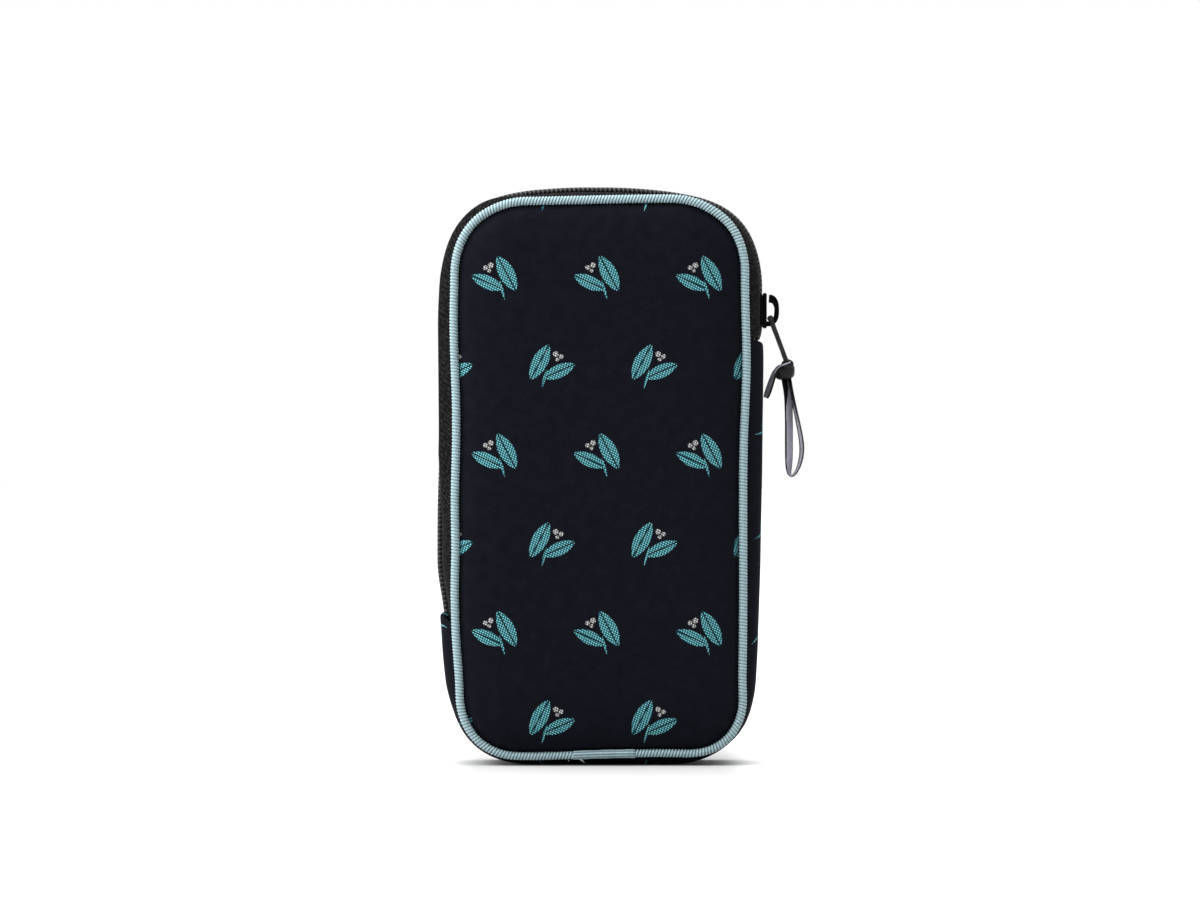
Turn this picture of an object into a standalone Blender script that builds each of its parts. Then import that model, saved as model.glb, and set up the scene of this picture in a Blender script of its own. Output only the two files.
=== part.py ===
"""A padded pouch with a zip round three of its sides, standing on its short end.

Metres, +Z up. The front faces -Y, and +X is on the right of someone who looks at the front.
The origin is the middle of the flat underside. Two crowned, foam-backed panels are sewn through
ribbed piping to a side band. The band is a padded gusset below, and a coil zip above.
"""

import math

import bmesh
import bpy
from mathutils import Vector

MM = 0.001

# Air left between pieces that touch, and how far a cutter runs past what it cuts
GAP = 0.3 * MM
OVERRUN = 12.0 * MM

# Overall size of the body, at the middle of its depth
BODY_HEIGHT = 193.3 * MM
BODY_HALF_WIDTH = 54.4 * MM
BODY_TAPER = 1.4 * MM
BODY_TOP_RADIUS = 33.0 * MM
BODY_BOTTOM_RADIUS = 28.5 * MM

# How far the soft side band bulges past the piping, on the sides, on top and underneath
SIDE_BULGE = 4.2 * MM
TOP_BULGE = 3.6 * MM
UNDER_BULGE = 1.7 * MM
SEAM_TAPER = 0.8 * MM
SEAM_TOP_RADIUS = 26.0 * MM
SEAM_BOTTOM_RADIUS = 21.5 * MM

# Depth: the piping's centre line, and the flat middle of the side band
SEAM_HALF_DEPTH = 16.6 * MM
BAND_FLAT_HALF_DEPTH = 8.0 * MM
BAND_TUCK = 1.4 * MM

# Piping, and the folded tab that covers where its ends meet
PIPING_RADIUS = 1.6 * MM
JOIN_LEFT = -9.0 * MM
JOIN_RIGHT = 11.7 * MM
JOIN_THICKNESS = 0.4 * MM
JOIN_START_ANGLE = math.radians(-20)
JOIN_END_ANGLE = math.radians(120)

# Layers of a panel, from its face inwards, and the shape of its crown
CLOTH = 0.8 * MM
PANEL_FOAM = 3.0 * MM
LINING = 0.6 * MM
PANEL_EDGE_RISE = 0.8 * MM
PANEL_CROWN = 3.6 * MM
CROWN_ROLL = 9.0 * MM
PANEL_FLAT_INSET = 30.0 * MM
PANEL_RING_SHARES = (0.0, 0.1, 0.3, 0.62, 1.0)
INNER_RING_SHARES = (0.0, 0.3, 1.0)
SHARP_RADIUS = 2.0 * MM

# The tape that binds the raw edges of each seam inside
BINDING_WIDTH = 3.4 * MM
BINDING_THICKNESS = 1.8 * MM
BINDING_CLEARANCE = 0.4 * MM

# Padding behind the gusset's cloth
GUSSET_FOAM = 2.0 * MM

# Zip: its left end above the floor, its right end below the top, its tape and its sewn coils
ZIP_LEFT_END = 50.4 * MM
ZIP_RIGHT_DROP = 52.3 * MM
TAPE = 0.9 * MM
COIL_HEIGHT = 1.6 * MM
COIL_WIDTH = 2.1 * MM
CHAIN_HALF_GAP = 0.9 * MM

# Slider: its height above the zip's end, its outer plate, flanges, inner plate and wedge
SLIDER_STANDOFF = 5.0 * MM
SLIDER_LENGTH = 11.8 * MM
SLIDER_TRAVEL = 7.0 * MM
SLIDER_PLATE = 1.25 * MM
SLIDER_INNER_PLATE = 1.1 * MM
SLIDER_FLANGE = 0.9 * MM
SLIDER_RUNNING_GAP = 0.4 * MM
SLIDER_INNER_GAP = 0.7 * MM
SLIDER_SIDE_GAP = 0.5 * MM
WEDGE_HALF_WIDTH = 0.55 * MM
WEDGE_LENGTH = 3.5 * MM
SLIDER_BEVEL = 0.25 * MM

# The bridge on the slider, which carries the pull
BRIDGE_WIRE_RADIUS = 0.65 * MM
BRIDGE_REACH = 3.45 * MM
BRIDGE_FOOT = 1.8 * MM
BRIDGE_SPAN = 8.8 * MM
BRIDGE_END_GAP = 0.45 * MM
BRIDGE_REACH_SHARES = (0.5, 0.86, 1.0, 0.95, 0.72)
BRIDGE_SPAN_SHARES = (-0.02, 0.08, 0.3, 0.64, 0.92)

# The pull: a flat frame whose top bar is hooked behind the bridge
PULL_LEAN = math.radians(20.4)
PULL_THICKNESS = 1.1 * MM
PULL_BAR = 1.15 * MM
PULL_LEG = 0.9 * MM
PULL_SIDE_GAP = 0.5 * MM
PULL_REACH = 15.9 * MM
PULL_WINDOW = 4.9 * MM
PULL_SLOT = 2.7 * MM
PULL_PIN_STANDOFF = 1.3 * MM
PULL_BEVEL = 0.2 * MM

# The ribbon, knotted through the pull's slot
RIBBON_THICKNESS = 0.65 * MM
RIBBON_WIDTH = 5.5 * MM
RIBBON_TURN = math.radians(22)
RING_CLEARANCE = 0.35 * MM
RING_HALF_WIDTH = 1.0 * MM
KNOT_HALF_WIDTH = 3.0 * MM
KNOT_HALF_DEPTH = 3.0 * MM
KNOT_HALF_HEIGHT = 2.9 * MM
KNOT_OFFSET = -0.4 * MM
LOOP_DROP = 33.0 * MM
LOOP_REACH = 5.0 * MM
LOOP_REACH_SHARES = (0.02, 0.0, -0.03, 0.06, 0.36, 0.74, 0.97, 0.98, 0.72, 0.3)
LOOP_DROP_SHARES = (0.0, 0.42, 0.76, 0.93, 1.0, 0.95, 0.82, 0.66, 0.36, 0.0)
LOOP_START = 0.1 * MM
TAIL_REACH = -6.0 * MM
TAIL_DROP = 8.0 * MM
TAIL_REACH_SHARES = (0.0, 0.32, 0.62, 1.0)
TAIL_DROP_SHARES = (0.0, 0.14, 0.48, 1.0)

# The front folds open along a slanting line, clear of the slider at the top of its travel
FOLD_GAP = 0.4 * MM
FOLD_CLEARANCE = 1.2 * MM

# How finely round shapes are cut, and what counts as one point or a soft edge
CORNER_STEPS = 6
SIDE_STEPS = 5
END_STEPS = 2
RING_STEPS = 14
KNOT_SEGMENTS = 12
KNOT_RINGS = 8
TUBE_RESOLUTION = 2
WELD_SHARE = 0.01
SMOOTH_ANGLE = math.radians(40)

# Sizes worked out from the ones above
SEAM_HALF_WIDTH = BODY_HALF_WIDTH - SIDE_BULGE
SEAM_HIGH = BODY_HEIGHT - TOP_BULGE
BAND_HALF_DEPTH = SEAM_HALF_DEPTH - PIPING_RADIUS - GAP
CLOTH_INSET = 2 * PIPING_RADIUS + GAP
BINDING_INSET = BAND_TUCK + TAPE + BINDING_CLEARANCE
INNER_INSET = BINDING_INSET + BINDING_WIDTH + BINDING_CLEARANCE
BAND_SHOULDER = (BAND_HALF_DEPTH + BAND_FLAT_HALF_DEPTH) / 2
PANEL_EDGE = SEAM_HALF_DEPTH + PANEL_EDGE_RISE
PANEL_FACE = PANEL_EDGE + PANEL_CROWN
TAPE_INSET = COIL_HEIGHT + GAP
ZIP_RIGHT_END = BODY_HEIGHT - ZIP_RIGHT_DROP
SLIDER_LOW = ZIP_RIGHT_END + SLIDER_STANDOFF
SLIDER_HIGH = SLIDER_LOW + SLIDER_LENGTH

NAVY = (0.010, 0.011, 0.016)
BLACK = (0.012, 0.012, 0.013)
TAPE_BLACK = (0.030, 0.032, 0.032)
PALE_BLUE = (0.38, 0.52, 0.57)
LINING_GREY = (0.07, 0.08, 0.10)
FOAM_WHITE = (0.62, 0.62, 0.58)
LILAC = (0.25, 0.25, 0.29)


def start_scene():
    """Clears the scene and makes one collection for the parts and one for the cutters."""
    for old in list(bpy.data.objects):
        bpy.data.objects.remove(old, do_unlink=True)
    made = []
    for name in ("Pouch", "Cutters"):
        collection = bpy.data.collections.new(name)
        bpy.context.scene.collection.children.link(collection)
        made.append(collection)
    made[1].hide_render = True
    return made


PARTS, CUTTERS = start_scene()


def material(name, colour, roughness, metallic=0.0):
    """A plain finish, made once for each name."""
    made = bpy.data.materials.get(name)
    if made:
        return made
    made = bpy.data.materials.new(name)
    made.use_nodes = True
    shader = made.node_tree.nodes["Principled BSDF"]
    shader.inputs["Base Color"].default_value = (*colour, 1.0)
    shader.inputs["Roughness"].default_value = roughness
    shader.inputs["Metallic"].default_value = metallic
    return made


def cloth_finish():
    return material("woven cloth", NAVY, 0.85)


def foam_finish():
    return material("foam", FOAM_WHITE, 0.95)


def lining_finish():
    return material("lining", LINING_GREY, 0.8)


def piping_finish():
    return material("ribbed piping", PALE_BLUE, 0.7)


def tape_finish():
    return material("zip tape", TAPE_BLACK, 0.85)


def coil_finish():
    return material("nylon coil", BLACK, 0.4)


def slider_finish():
    return material("black enamel", BLACK, 0.35, 0.6)


def ribbon_finish():
    return material("satin ribbon", LILAC, 0.5)


def add_object(name, mesh, finish, collection=None):
    """Links a mesh as a named part, shaded smooth over its gentle edges."""
    made = bpy.data.objects.new(name, mesh)
    (collection or PARTS).objects.link(made)
    if finish:
        mesh.materials.append(finish)
        mesh.shade_smooth()
        mesh.set_sharp_from_angle(angle=SMOOTH_ANGLE)
    return made


def straight_points(start, end, steps):
    """The points between two ends of a straight stretch, without the ends."""
    return [start.lerp(end, k / steps) for k in range(1, steps)]


def rounded_outline(half_width, taper, low, high, top_radius, bottom_radius):
    """(points, outward normals) round a rounded rectangle in the XZ plane, anticlockwise from the front.

    It starts at the middle of the underside. Outlines of every size have the same number of points,
    so that one can be joined to another.
    """
    bottom_half = half_width - taper
    corners = (
        (bottom_half - bottom_radius, low + bottom_radius, bottom_radius, -90),
        (half_width - top_radius, high - top_radius, top_radius, 0),
        (top_radius - half_width, high - top_radius, top_radius, 90),
        (bottom_radius - bottom_half, low + bottom_radius, bottom_radius, 180),
    )
    arcs = []
    for x, z, radius, first in corners:
        arc = []
        for k in range(CORNER_STEPS + 1):
            angle = math.radians(first + 90 * k / CORNER_STEPS)
            normal = Vector((math.cos(angle), 0, math.sin(angle)))
            arc.append((Vector((x, 0, z)) + radius * normal, normal))
        arcs.append(arc)
    start = (Vector((0, 0, low)), Vector((0, 0, -1)))
    found = [start]
    previous = start
    for arc, steps in zip(arcs, (END_STEPS, SIDE_STEPS, 2 * END_STEPS, SIDE_STEPS)):
        normal = arc[0][1]
        found += [(p, normal) for p in straight_points(previous[0], arc[0][0], steps)]
        found += arc
        previous = arc[-1]
    found += [(p, start[1]) for p in straight_points(previous[0], start[0], END_STEPS)]
    return [p for p, _ in found], [n for _, n in found]


def seam_outline(inset):
    """The outline of the piping's outer edge, moved inwards by inset."""
    return rounded_outline(
        SEAM_HALF_WIDTH - inset,
        SEAM_TAPER,
        UNDER_BULGE + inset,
        SEAM_HIGH - inset,
        max(SEAM_TOP_RADIUS - inset, SHARP_RADIUS),
        max(SEAM_BOTTOM_RADIUS - inset, SHARP_RADIUS),
    )


def body_outline():
    """The outline of the band's outer skin at the middle of its depth."""
    return rounded_outline(
        BODY_HALF_WIDTH, BODY_TAPER, 0, BODY_HEIGHT, BODY_TOP_RADIUS, BODY_BOTTOM_RADIUS
    )


SEAM_POINTS, NORMALS = seam_outline(0)
BODY_POINTS, _ = body_outline()
COUNT = len(BODY_POINTS)


def at(points, place):
    """The point at a fractional place along a closed outline."""
    low = math.floor(place)
    return points[low % COUNT].lerp(points[(low + 1) % COUNT], place - low)


def side_place(height, right):
    """The place along the outline where the band's middle is at that height, on one side."""
    places = range(COUNT)
    for k in places:
        first, second = BODY_POINTS[k], BODY_POINTS[(k + 1) % COUNT]
        inside = min(first.z, second.z) <= height <= max(first.z, second.z)
        if inside and abs(second.z - first.z) > 0 and (first.x > 0) == right:
            return k + (height - first.z) / (second.z - first.z)
    return places[-1]


def places_between(start, end):
    """The fractional start, each whole place after it, and the fractional end."""
    inner = [float(k) for k in range(math.floor(start) + 1, math.ceil(end))]
    return [start, *inner, end]


def bulge_share(y):
    """How much of the band's bulge shows at a depth: 1 over its flat middle, 0 at the seams."""
    past = abs(y) - BAND_FLAT_HALF_DEPTH
    if past <= 0:
        return 1.0
    return max(0.0, 1 - (past / (BAND_HALF_DEPTH - BAND_FLAT_HALF_DEPTH)) ** 2)


def band_point(place, y, sink=0.0, inset=0.0):
    """A point of the side band: sunk under its skin, which fades out at the seams, or set in square to it."""
    share = bulge_share(y)
    normal = at(NORMALS, place)
    seam = at(SEAM_POINTS, place) - BAND_TUCK * normal
    body = at(BODY_POINTS, place)
    past = max(0.0, abs(y) - BAND_FLAT_HALF_DEPTH)
    shoulder = BAND_HALF_DEPTH - BAND_FLAT_HALF_DEPTH
    slope = 2 * past / shoulder**2 * (body - seam).length
    square = (normal + Vector((0, math.copysign(slope, y), 0))).normalized()
    skin = seam.lerp(body, share) - sink * share * normal
    return Vector((skin.x, y, skin.z)) - inset * square


def sheet_mesh(name, rows, closed=False, capped=False, flip=False):
    """An open surface through rows of points, each row as long as the next."""
    shape = bmesh.new()
    grid = [[shape.verts.new(p) for p in row] for row in rows]
    width = len(rows[0])
    for first, second in zip(grid, grid[1:]):
        for k in range(width if closed else width - 1):
            j = (k + 1) % width
            face = (first[k], first[j], second[j], second[k])
            shape.faces.new(face[::-1] if flip else face)
    if capped:
        shape.faces.new(grid[-1][::-1] if flip else grid[-1])
    mesh = bpy.data.meshes.new(name)
    shape.to_mesh(mesh)
    shape.free()
    return mesh


def thicken(piece, thickness):
    """Gives an open surface its thickness, inwards from its face."""
    solidify = piece.modifiers.new("thickness", "SOLIDIFY")
    solidify.thickness = thickness
    solidify.offset = -1
    solidify.use_even_offset = True
    return piece


def crown_rise(inset):
    """How far a panel stands out past its edge, at an inset from that edge."""
    return PANEL_CROWN * (1 - math.exp(-inset / CROWN_ROLL))


def panel_layer(name, side, edge_inset, depth, thickness, ring_shares, finish):
    """One layer of a crowned panel: side is -1 in front, and depth is measured in from the face."""
    rings = []
    for share in ring_shares:
        inset = edge_inset + share * (PANEL_FLAT_INSET - edge_inset)
        y = side * (PANEL_EDGE + crown_rise(inset - CLOTH_INSET) - depth)
        points, _ = seam_outline(inset)
        rings.append([Vector((p.x, y, p.z)) for p in points])
    mesh = sheet_mesh(name, rings, closed=True, capped=True, flip=side > 0)
    return thicken(add_object(name, mesh, finish), thickness)


def band_layer(name, ends, levels, thickness, finish, sink=0.0, inset=0.0):
    """One layer of the side band between two places along the outline."""
    places = places_between(*ends)
    rows = [[band_point(s, y, sink, inset) for y in sorted(levels)] for s in places]
    mesh = sheet_mesh(name, rows)
    return thicken(add_object(name, mesh, finish), thickness)


def as_mesh(curve_object, finish):
    """Makes a curve's tube a closed mesh under the same name."""
    graph = bpy.context.evaluated_depsgraph_get()
    mesh = bpy.data.meshes.new_from_object(curve_object.evaluated_get(graph))
    shape = bmesh.new()
    shape.from_mesh(mesh)
    bmesh.ops.remove_doubles(shape, verts=shape.verts, dist=WELD_SHARE * GAP)
    shape.to_mesh(mesh)
    shape.free()
    name = curve_object.name
    place = curve_object.matrix_world.copy()
    bpy.data.objects.remove(curve_object, do_unlink=True)
    made = add_object(name, mesh, finish)
    made.matrix_world = place
    return made


def tube(name, points, radius, finish, cyclic=False):
    """A round bar through a row of points."""
    curve = bpy.data.curves.new(name, "CURVE")
    curve.dimensions = "3D"
    curve.bevel_depth = radius
    curve.bevel_resolution = TUBE_RESOLUTION
    curve.use_fill_caps = not cyclic
    spline = curve.splines.new("POLY")
    spline.points.add(len(points) - 1)
    for target, p in zip(spline.points, points):
        target.co = (*p, 1)
    spline.use_cyclic_u = cyclic
    made = bpy.data.objects.new(name, curve)
    PARTS.objects.link(made)
    return as_mesh(made, finish)


def box(name, low, high, finish=None, collection=None):
    """A box between two corners, as a part or as a cutter."""
    low, high = Vector(low), Vector(high)
    shape = bmesh.new()
    bmesh.ops.create_cube(shape, size=1)
    for vertex in shape.verts:
        share = vertex.co + Vector((0.5, 0.5, 0.5))
        vertex.co = [a + (b - a) * s for a, b, s in zip(low, high, share)]
    mesh = bpy.data.meshes.new(name)
    shape.to_mesh(mesh)
    shape.free()
    made = add_object(name, mesh, finish, collection)
    if collection is CUTTERS:
        made.hide_render = True
        made.display_type = "WIRE"
    return made


def combine(piece, other, operation):
    """Adds a Boolean modifier to a piece, and makes its partner a helper that doesn't show."""
    boolean = piece.modifiers.new(f"{operation.lower()} {other.name}", "BOOLEAN")
    boolean.object = other
    boolean.operation = operation
    boolean.solver = "EXACT"
    if other.name not in CUTTERS.objects:
        PARTS.objects.unlink(other)
        CUTTERS.objects.link(other)
    other.hide_render = True
    other.display_type = "WIRE"


def soften(piece, width):
    """Rounds a piece's edges a little."""
    bevel = piece.modifiers.new("rounded edges", "BEVEL")
    bevel.width = width
    bevel.segments = 1


def fold_line():
    """(point, direction) of the line along which the front folds open, in the XZ plane.

    It passes just under the zip's left end at the seam, and over the slider at the top of its travel.
    """
    tape_end = at(SEAM_POINTS, side_place(ZIP_LEFT_END, right=False))
    left = tape_end + Vector((BAND_TUCK + TAPE, 0, -FOLD_GAP))
    inner_plate = slider_faces()["inner low"]
    right = Vector((inner_plate, 0, SLIDER_HIGH + SLIDER_TRAVEL + FOLD_CLEARANCE))
    return left, (right - left).normalized()


def slider_faces():
    """Where the slider's plates and flanges lie across the chain, along X."""
    middle = side_place(SLIDER_LOW + SLIDER_LENGTH / 2, right=True)
    coil_face = at(BODY_POINTS, middle).x
    tape_face = coil_face - TAPE_INSET
    outer_low = coil_face + SLIDER_RUNNING_GAP
    inner_high = tape_face - TAPE - SLIDER_INNER_GAP
    return {
        "flange low": tape_face + SLIDER_RUNNING_GAP,
        "outer low": outer_low,
        "outer high": outer_low + SLIDER_PLATE,
        "inner low": inner_high - SLIDER_INNER_PLATE,
        "inner high": inner_high,
    }


def fold_cutters():
    """Two blocks, one on each side of the fold line, with the fold's gap left between them."""
    point, direction = fold_line()
    upwards = Vector((-direction.z, 0, direction.x))
    reach = BODY_HEIGHT + OVERRUN
    depth = PANEL_FACE + OVERRUN
    made = []
    for name, low, high in (
        ("above the fold", -FOLD_GAP / 2, reach),
        ("below the fold", -reach, FOLD_GAP / 2),
    ):
        block = box(name, (-reach, -depth, low), (2 * reach, depth, high), None, CUTTERS)
        for vertex in block.data.vertices:
            x, y, z = vertex.co
            place = point + x * direction + z * upwards
            vertex.co = (place.x, y, place.z)
        made.append(block)
    return made


def split_at_fold(piece, flap_name, lower_name):
    """Makes the flap's share and the lower share of a piece that crosses the fold line."""
    above, below = FOLD_BLOCKS
    lower = piece.copy()
    lower.data = piece.data.copy()
    PARTS.objects.link(lower)
    piece.name = flap_name
    lower.name = lower_name
    combine(piece, below, "DIFFERENCE")
    combine(lower, above, "DIFFERENCE")


def piping_points(side):
    """The piping's centre line, on the front or the back seam."""
    points, _ = seam_outline(PIPING_RADIUS)
    return [Vector((p.x, side * SEAM_HALF_DEPTH, p.z)) for p in points]


def make_piping_join(name, side):
    """The folded tab over the piping's ends, at the middle of the underside."""
    radius = PIPING_RADIUS + GAP
    centre = UNDER_BULGE + PIPING_RADIUS
    rows = []
    for x in (JOIN_LEFT, JOIN_RIGHT):
        row = []
        for k in range(CORNER_STEPS + 1):
            turn = JOIN_END_ANGLE - JOIN_START_ANGLE
            angle = JOIN_START_ANGLE + turn * k / CORNER_STEPS
            y = side * (SEAM_HALF_DEPTH + radius * math.sin(angle))
            row.append(Vector((x, y, centre - radius * math.cos(angle))))
        rows.append(row)
    mesh = sheet_mesh(name, rows, flip=side < 0)
    join = thicken(add_object(name, mesh, piping_finish()), JOIN_THICKNESS)
    join.modifiers["thickness"].offset = 1


def make_binding(name, side):
    """The tape round a seam's raw edges, behind the piping."""
    outer = BAND_HALF_DEPTH
    levels = sorted((side * outer, side * (outer - BINDING_THICKNESS)))
    points, _ = seam_outline(BINDING_INSET)
    rows = [[Vector((p.x, y, p.z)) for p in points] for y in levels]
    mesh = sheet_mesh(name, rows, closed=True, flip=True)
    return thicken(add_object(name, mesh, tape_finish()), BINDING_WIDTH)


def make_panel(side, prefix):
    """A panel's cloth, foam and lining, from its face inwards."""
    layers = (
        ("panel", CLOTH_INSET, 0, CLOTH, PANEL_RING_SHARES, cloth_finish()),
        ("foam", INNER_INSET, CLOTH + GAP, PANEL_FOAM, INNER_RING_SHARES, foam_finish()),
        (
            "lining",
            INNER_INSET,
            CLOTH + PANEL_FOAM + 2 * GAP,
            LINING,
            INNER_RING_SHARES,
            lining_finish(),
        ),
    )
    return {
        word: panel_layer(f"{prefix}_{word}", side, inset, depth, thickness, shares, finish)
        for word, inset, depth, thickness, shares, finish in layers
    }


def make_back():
    """The back panel, whole, with its piping and binding."""
    make_panel(1, "back")
    tube("back_piping", piping_points(1), PIPING_RADIUS, piping_finish(), cyclic=True)
    make_piping_join("back_piping_join", 1)
    make_binding("back_binding", 1)


def make_front():
    """The front panel with its piping and binding, each in two shares at the fold line."""
    for word, piece in make_panel(-1, "front").items():
        split_at_fold(piece, f"front_{word}_flap", f"front_{word}_lower")
    piping = tube("front_piping", piping_points(-1), PIPING_RADIUS, piping_finish(), cyclic=True)
    split_at_fold(piping, "front_piping_flap", "front_piping_lower")
    binding = make_binding("front_binding", -1)
    split_at_fold(binding, "front_binding_flap", "front_binding_lower")
    make_piping_join("front_piping_join", -1)


def make_gusset():
    """The padded cloth band round the lower part, open at the top where the zip runs."""
    start = side_place(ZIP_LEFT_END - GAP, right=False) - COUNT
    end = side_place(ZIP_RIGHT_END - GAP, right=True)
    inner_levels = [side * y for side in (-1, 1) for y in (BAND_FLAT_HALF_DEPTH, BAND_SHOULDER)]
    skin_levels = [*inner_levels, -BAND_HALF_DEPTH, BAND_HALF_DEPTH]
    foam_inset = CLOTH + GAP
    lining_inset = foam_inset + GUSSET_FOAM + 2 * GAP
    band_layer("gusset_band", (start, end), skin_levels, CLOTH, cloth_finish())
    band_layer(
        "gusset_foam", (start, end), inner_levels, GUSSET_FOAM, foam_finish(), inset=foam_inset
    )
    band_layer(
        "gusset_lining", (start, end), inner_levels, LINING, lining_finish(), inset=lining_inset
    )


def make_zip():
    """The two tapes with their sewn coils. The front ones go with the flap, but for the slider's run."""
    ends = (side_place(ZIP_RIGHT_END, right=True), side_place(ZIP_LEFT_END, right=False))
    tape_levels = (CHAIN_HALF_GAP, BAND_FLAT_HALF_DEPTH, BAND_SHOULDER, BAND_HALF_DEPTH)
    coil_levels = (CHAIN_HALF_GAP, CHAIN_HALF_GAP + COIL_WIDTH)
    for side, word in ((1, "back"), (-1, "front")):
        levels = [side * y for y in tape_levels]
        tape = band_layer(f"zip_tape_{word}", ends, levels, TAPE, tape_finish(), sink=TAPE_INSET)
        levels = [side * y for y in coil_levels]
        coil = band_layer(f"zip_coil_{word}", ends, levels, COIL_HEIGHT, coil_finish())
        if side < 0:
            split_at_fold(tape, "zip_tape_front", "zip_tape_front_end")
            split_at_fold(coil, "zip_coil_front", "zip_coil_front_end")


def make_slider():
    """The cast slider: two plates joined by a wedge, flanges over the coils, and the pull's bridge."""
    faces = slider_faces()
    half_width = CHAIN_HALF_GAP + COIL_WIDTH + SLIDER_SIDE_GAP + SLIDER_FLANGE
    low, high = SLIDER_LOW, SLIDER_HIGH
    plate = box(
        "slider_body",
        (faces["outer low"], -half_width, low),
        (faces["outer high"], half_width, high),
        slider_finish(),
    )
    soften(plate, SLIDER_BEVEL)
    root = SLIDER_PLATE / 2
    pieces = [
        box(
            "inner plate",
            (faces["inner low"], -half_width, low),
            (faces["inner high"], half_width, high),
        ),
        box(
            "wedge",
            (faces["inner low"] + SLIDER_INNER_PLATE / 2, -WEDGE_HALF_WIDTH, low + SLIDER_BEVEL),
            (faces["outer low"] + root, WEDGE_HALF_WIDTH, low + WEDGE_LENGTH),
        ),
    ]
    soften(pieces[0], SLIDER_BEVEL)
    for side, word in ((-1, "front"), (1, "back")):
        edges = sorted((side * (half_width - SLIDER_FLANGE), side * (half_width - SLIDER_BEVEL)))
        pieces.append(
            box(
                f"{word} flange",
                (faces["flange low"], edges[0], low + SLIDER_BEVEL),
                (faces["outer low"] + root, edges[1], high - SLIDER_BEVEL),
            )
        )
    pieces.append(tube("bridge", bridge_points(), BRIDGE_WIRE_RADIUS, slider_finish()))
    for piece in pieces:
        combine(plate, piece, "UNION")


def bridge_points():
    """The bridge's centre line: out of the plate low down, up, and back to just short of the plate."""
    face = slider_faces()["outer high"]
    foot = SLIDER_LOW + BRIDGE_FOOT
    points = [Vector((face - SLIDER_PLATE / 2, 0, foot))]
    for out, along in zip(BRIDGE_REACH_SHARES, BRIDGE_SPAN_SHARES):
        points.append(Vector((face + out * BRIDGE_REACH, 0, foot + along * BRIDGE_SPAN)))
    end = face + BRIDGE_END_GAP + BRIDGE_WIRE_RADIUS
    points.append(Vector((end, 0, foot + BRIDGE_SPAN)))
    return points


def pull_pin():
    """The middle of the pull's top bar, which hangs on the inside of the bridge's foot."""
    return Vector(
        (
            slider_faces()["outer high"] + PULL_PIN_STANDOFF,
            0,
            SLIDER_LOW + BRIDGE_FOOT + BRIDGE_WIRE_RADIUS + GAP + PULL_BAR / 2,
        )
    )


def make_pull():
    """The pull, drawn hanging straight down from its top bar and then turned to its lean."""
    half = PULL_THICKNESS / 2
    window_half = BRIDGE_WIRE_RADIUS + PULL_SIDE_GAP
    side = window_half + PULL_LEG
    pull = box(
        "pull_tab",
        (-half, -side, -PULL_REACH - PULL_BAR / 2),
        (half, side, PULL_BAR / 2),
        slider_finish(),
    )
    pull.location = pull_pin()
    pull.rotation_euler = (0, -PULL_LEAN, 0)
    soften(pull, PULL_BEVEL)
    slot_high = -PULL_REACH + PULL_BAR / 2 + PULL_SLOT
    cuts = (
        ("pull window", -PULL_WINDOW, -PULL_BAR / 2, window_half),
        ("pull slot", slot_high - PULL_SLOT, slot_high, RING_HALF_WIDTH + GAP),
    )
    for name, low, high, reach in cuts:
        cutter = box(name, (-2 * half, -reach, low), (2 * half, reach, high), None, CUTTERS)
        cutter.location = pull.location
        cutter.rotation_euler = pull.rotation_euler
        combine(pull, cutter, "DIFFERENCE")


def ribbon_pivot():
    """The middle of the bar at the pull's foot, round which the ribbon hangs."""
    lean = Vector((math.sin(PULL_LEAN), 0, -math.cos(PULL_LEAN)))
    return pull_pin() + PULL_REACH * lean


def ring_radius():
    """The inner radius of the ribbon's turn round the pull's foot."""
    return math.hypot(PULL_THICKNESS, PULL_BAR) / 2 + RING_CLEARANCE


def strap(name, points, width, turn):
    """A flat strap through points in the XZ plane, its width turned from Y towards X."""
    across = Vector((math.sin(turn), math.cos(turn), 0)) * width / 2
    rows = [[p - across, p + across] for p in points]
    piece = thicken(add_object(name, sheet_mesh(name, rows), ribbon_finish()), RIBBON_THICKNESS)
    piece.modifiers["thickness"].offset = 0
    return piece


def shared_points(start, reach, drop, reach_shares, drop_shares):
    """Points under a start, at shares of a reach sideways and of a drop."""
    return [
        start + Vector((reach * x, 0, -drop * z)) for x, z in zip(reach_shares, drop_shares)
    ]


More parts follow.
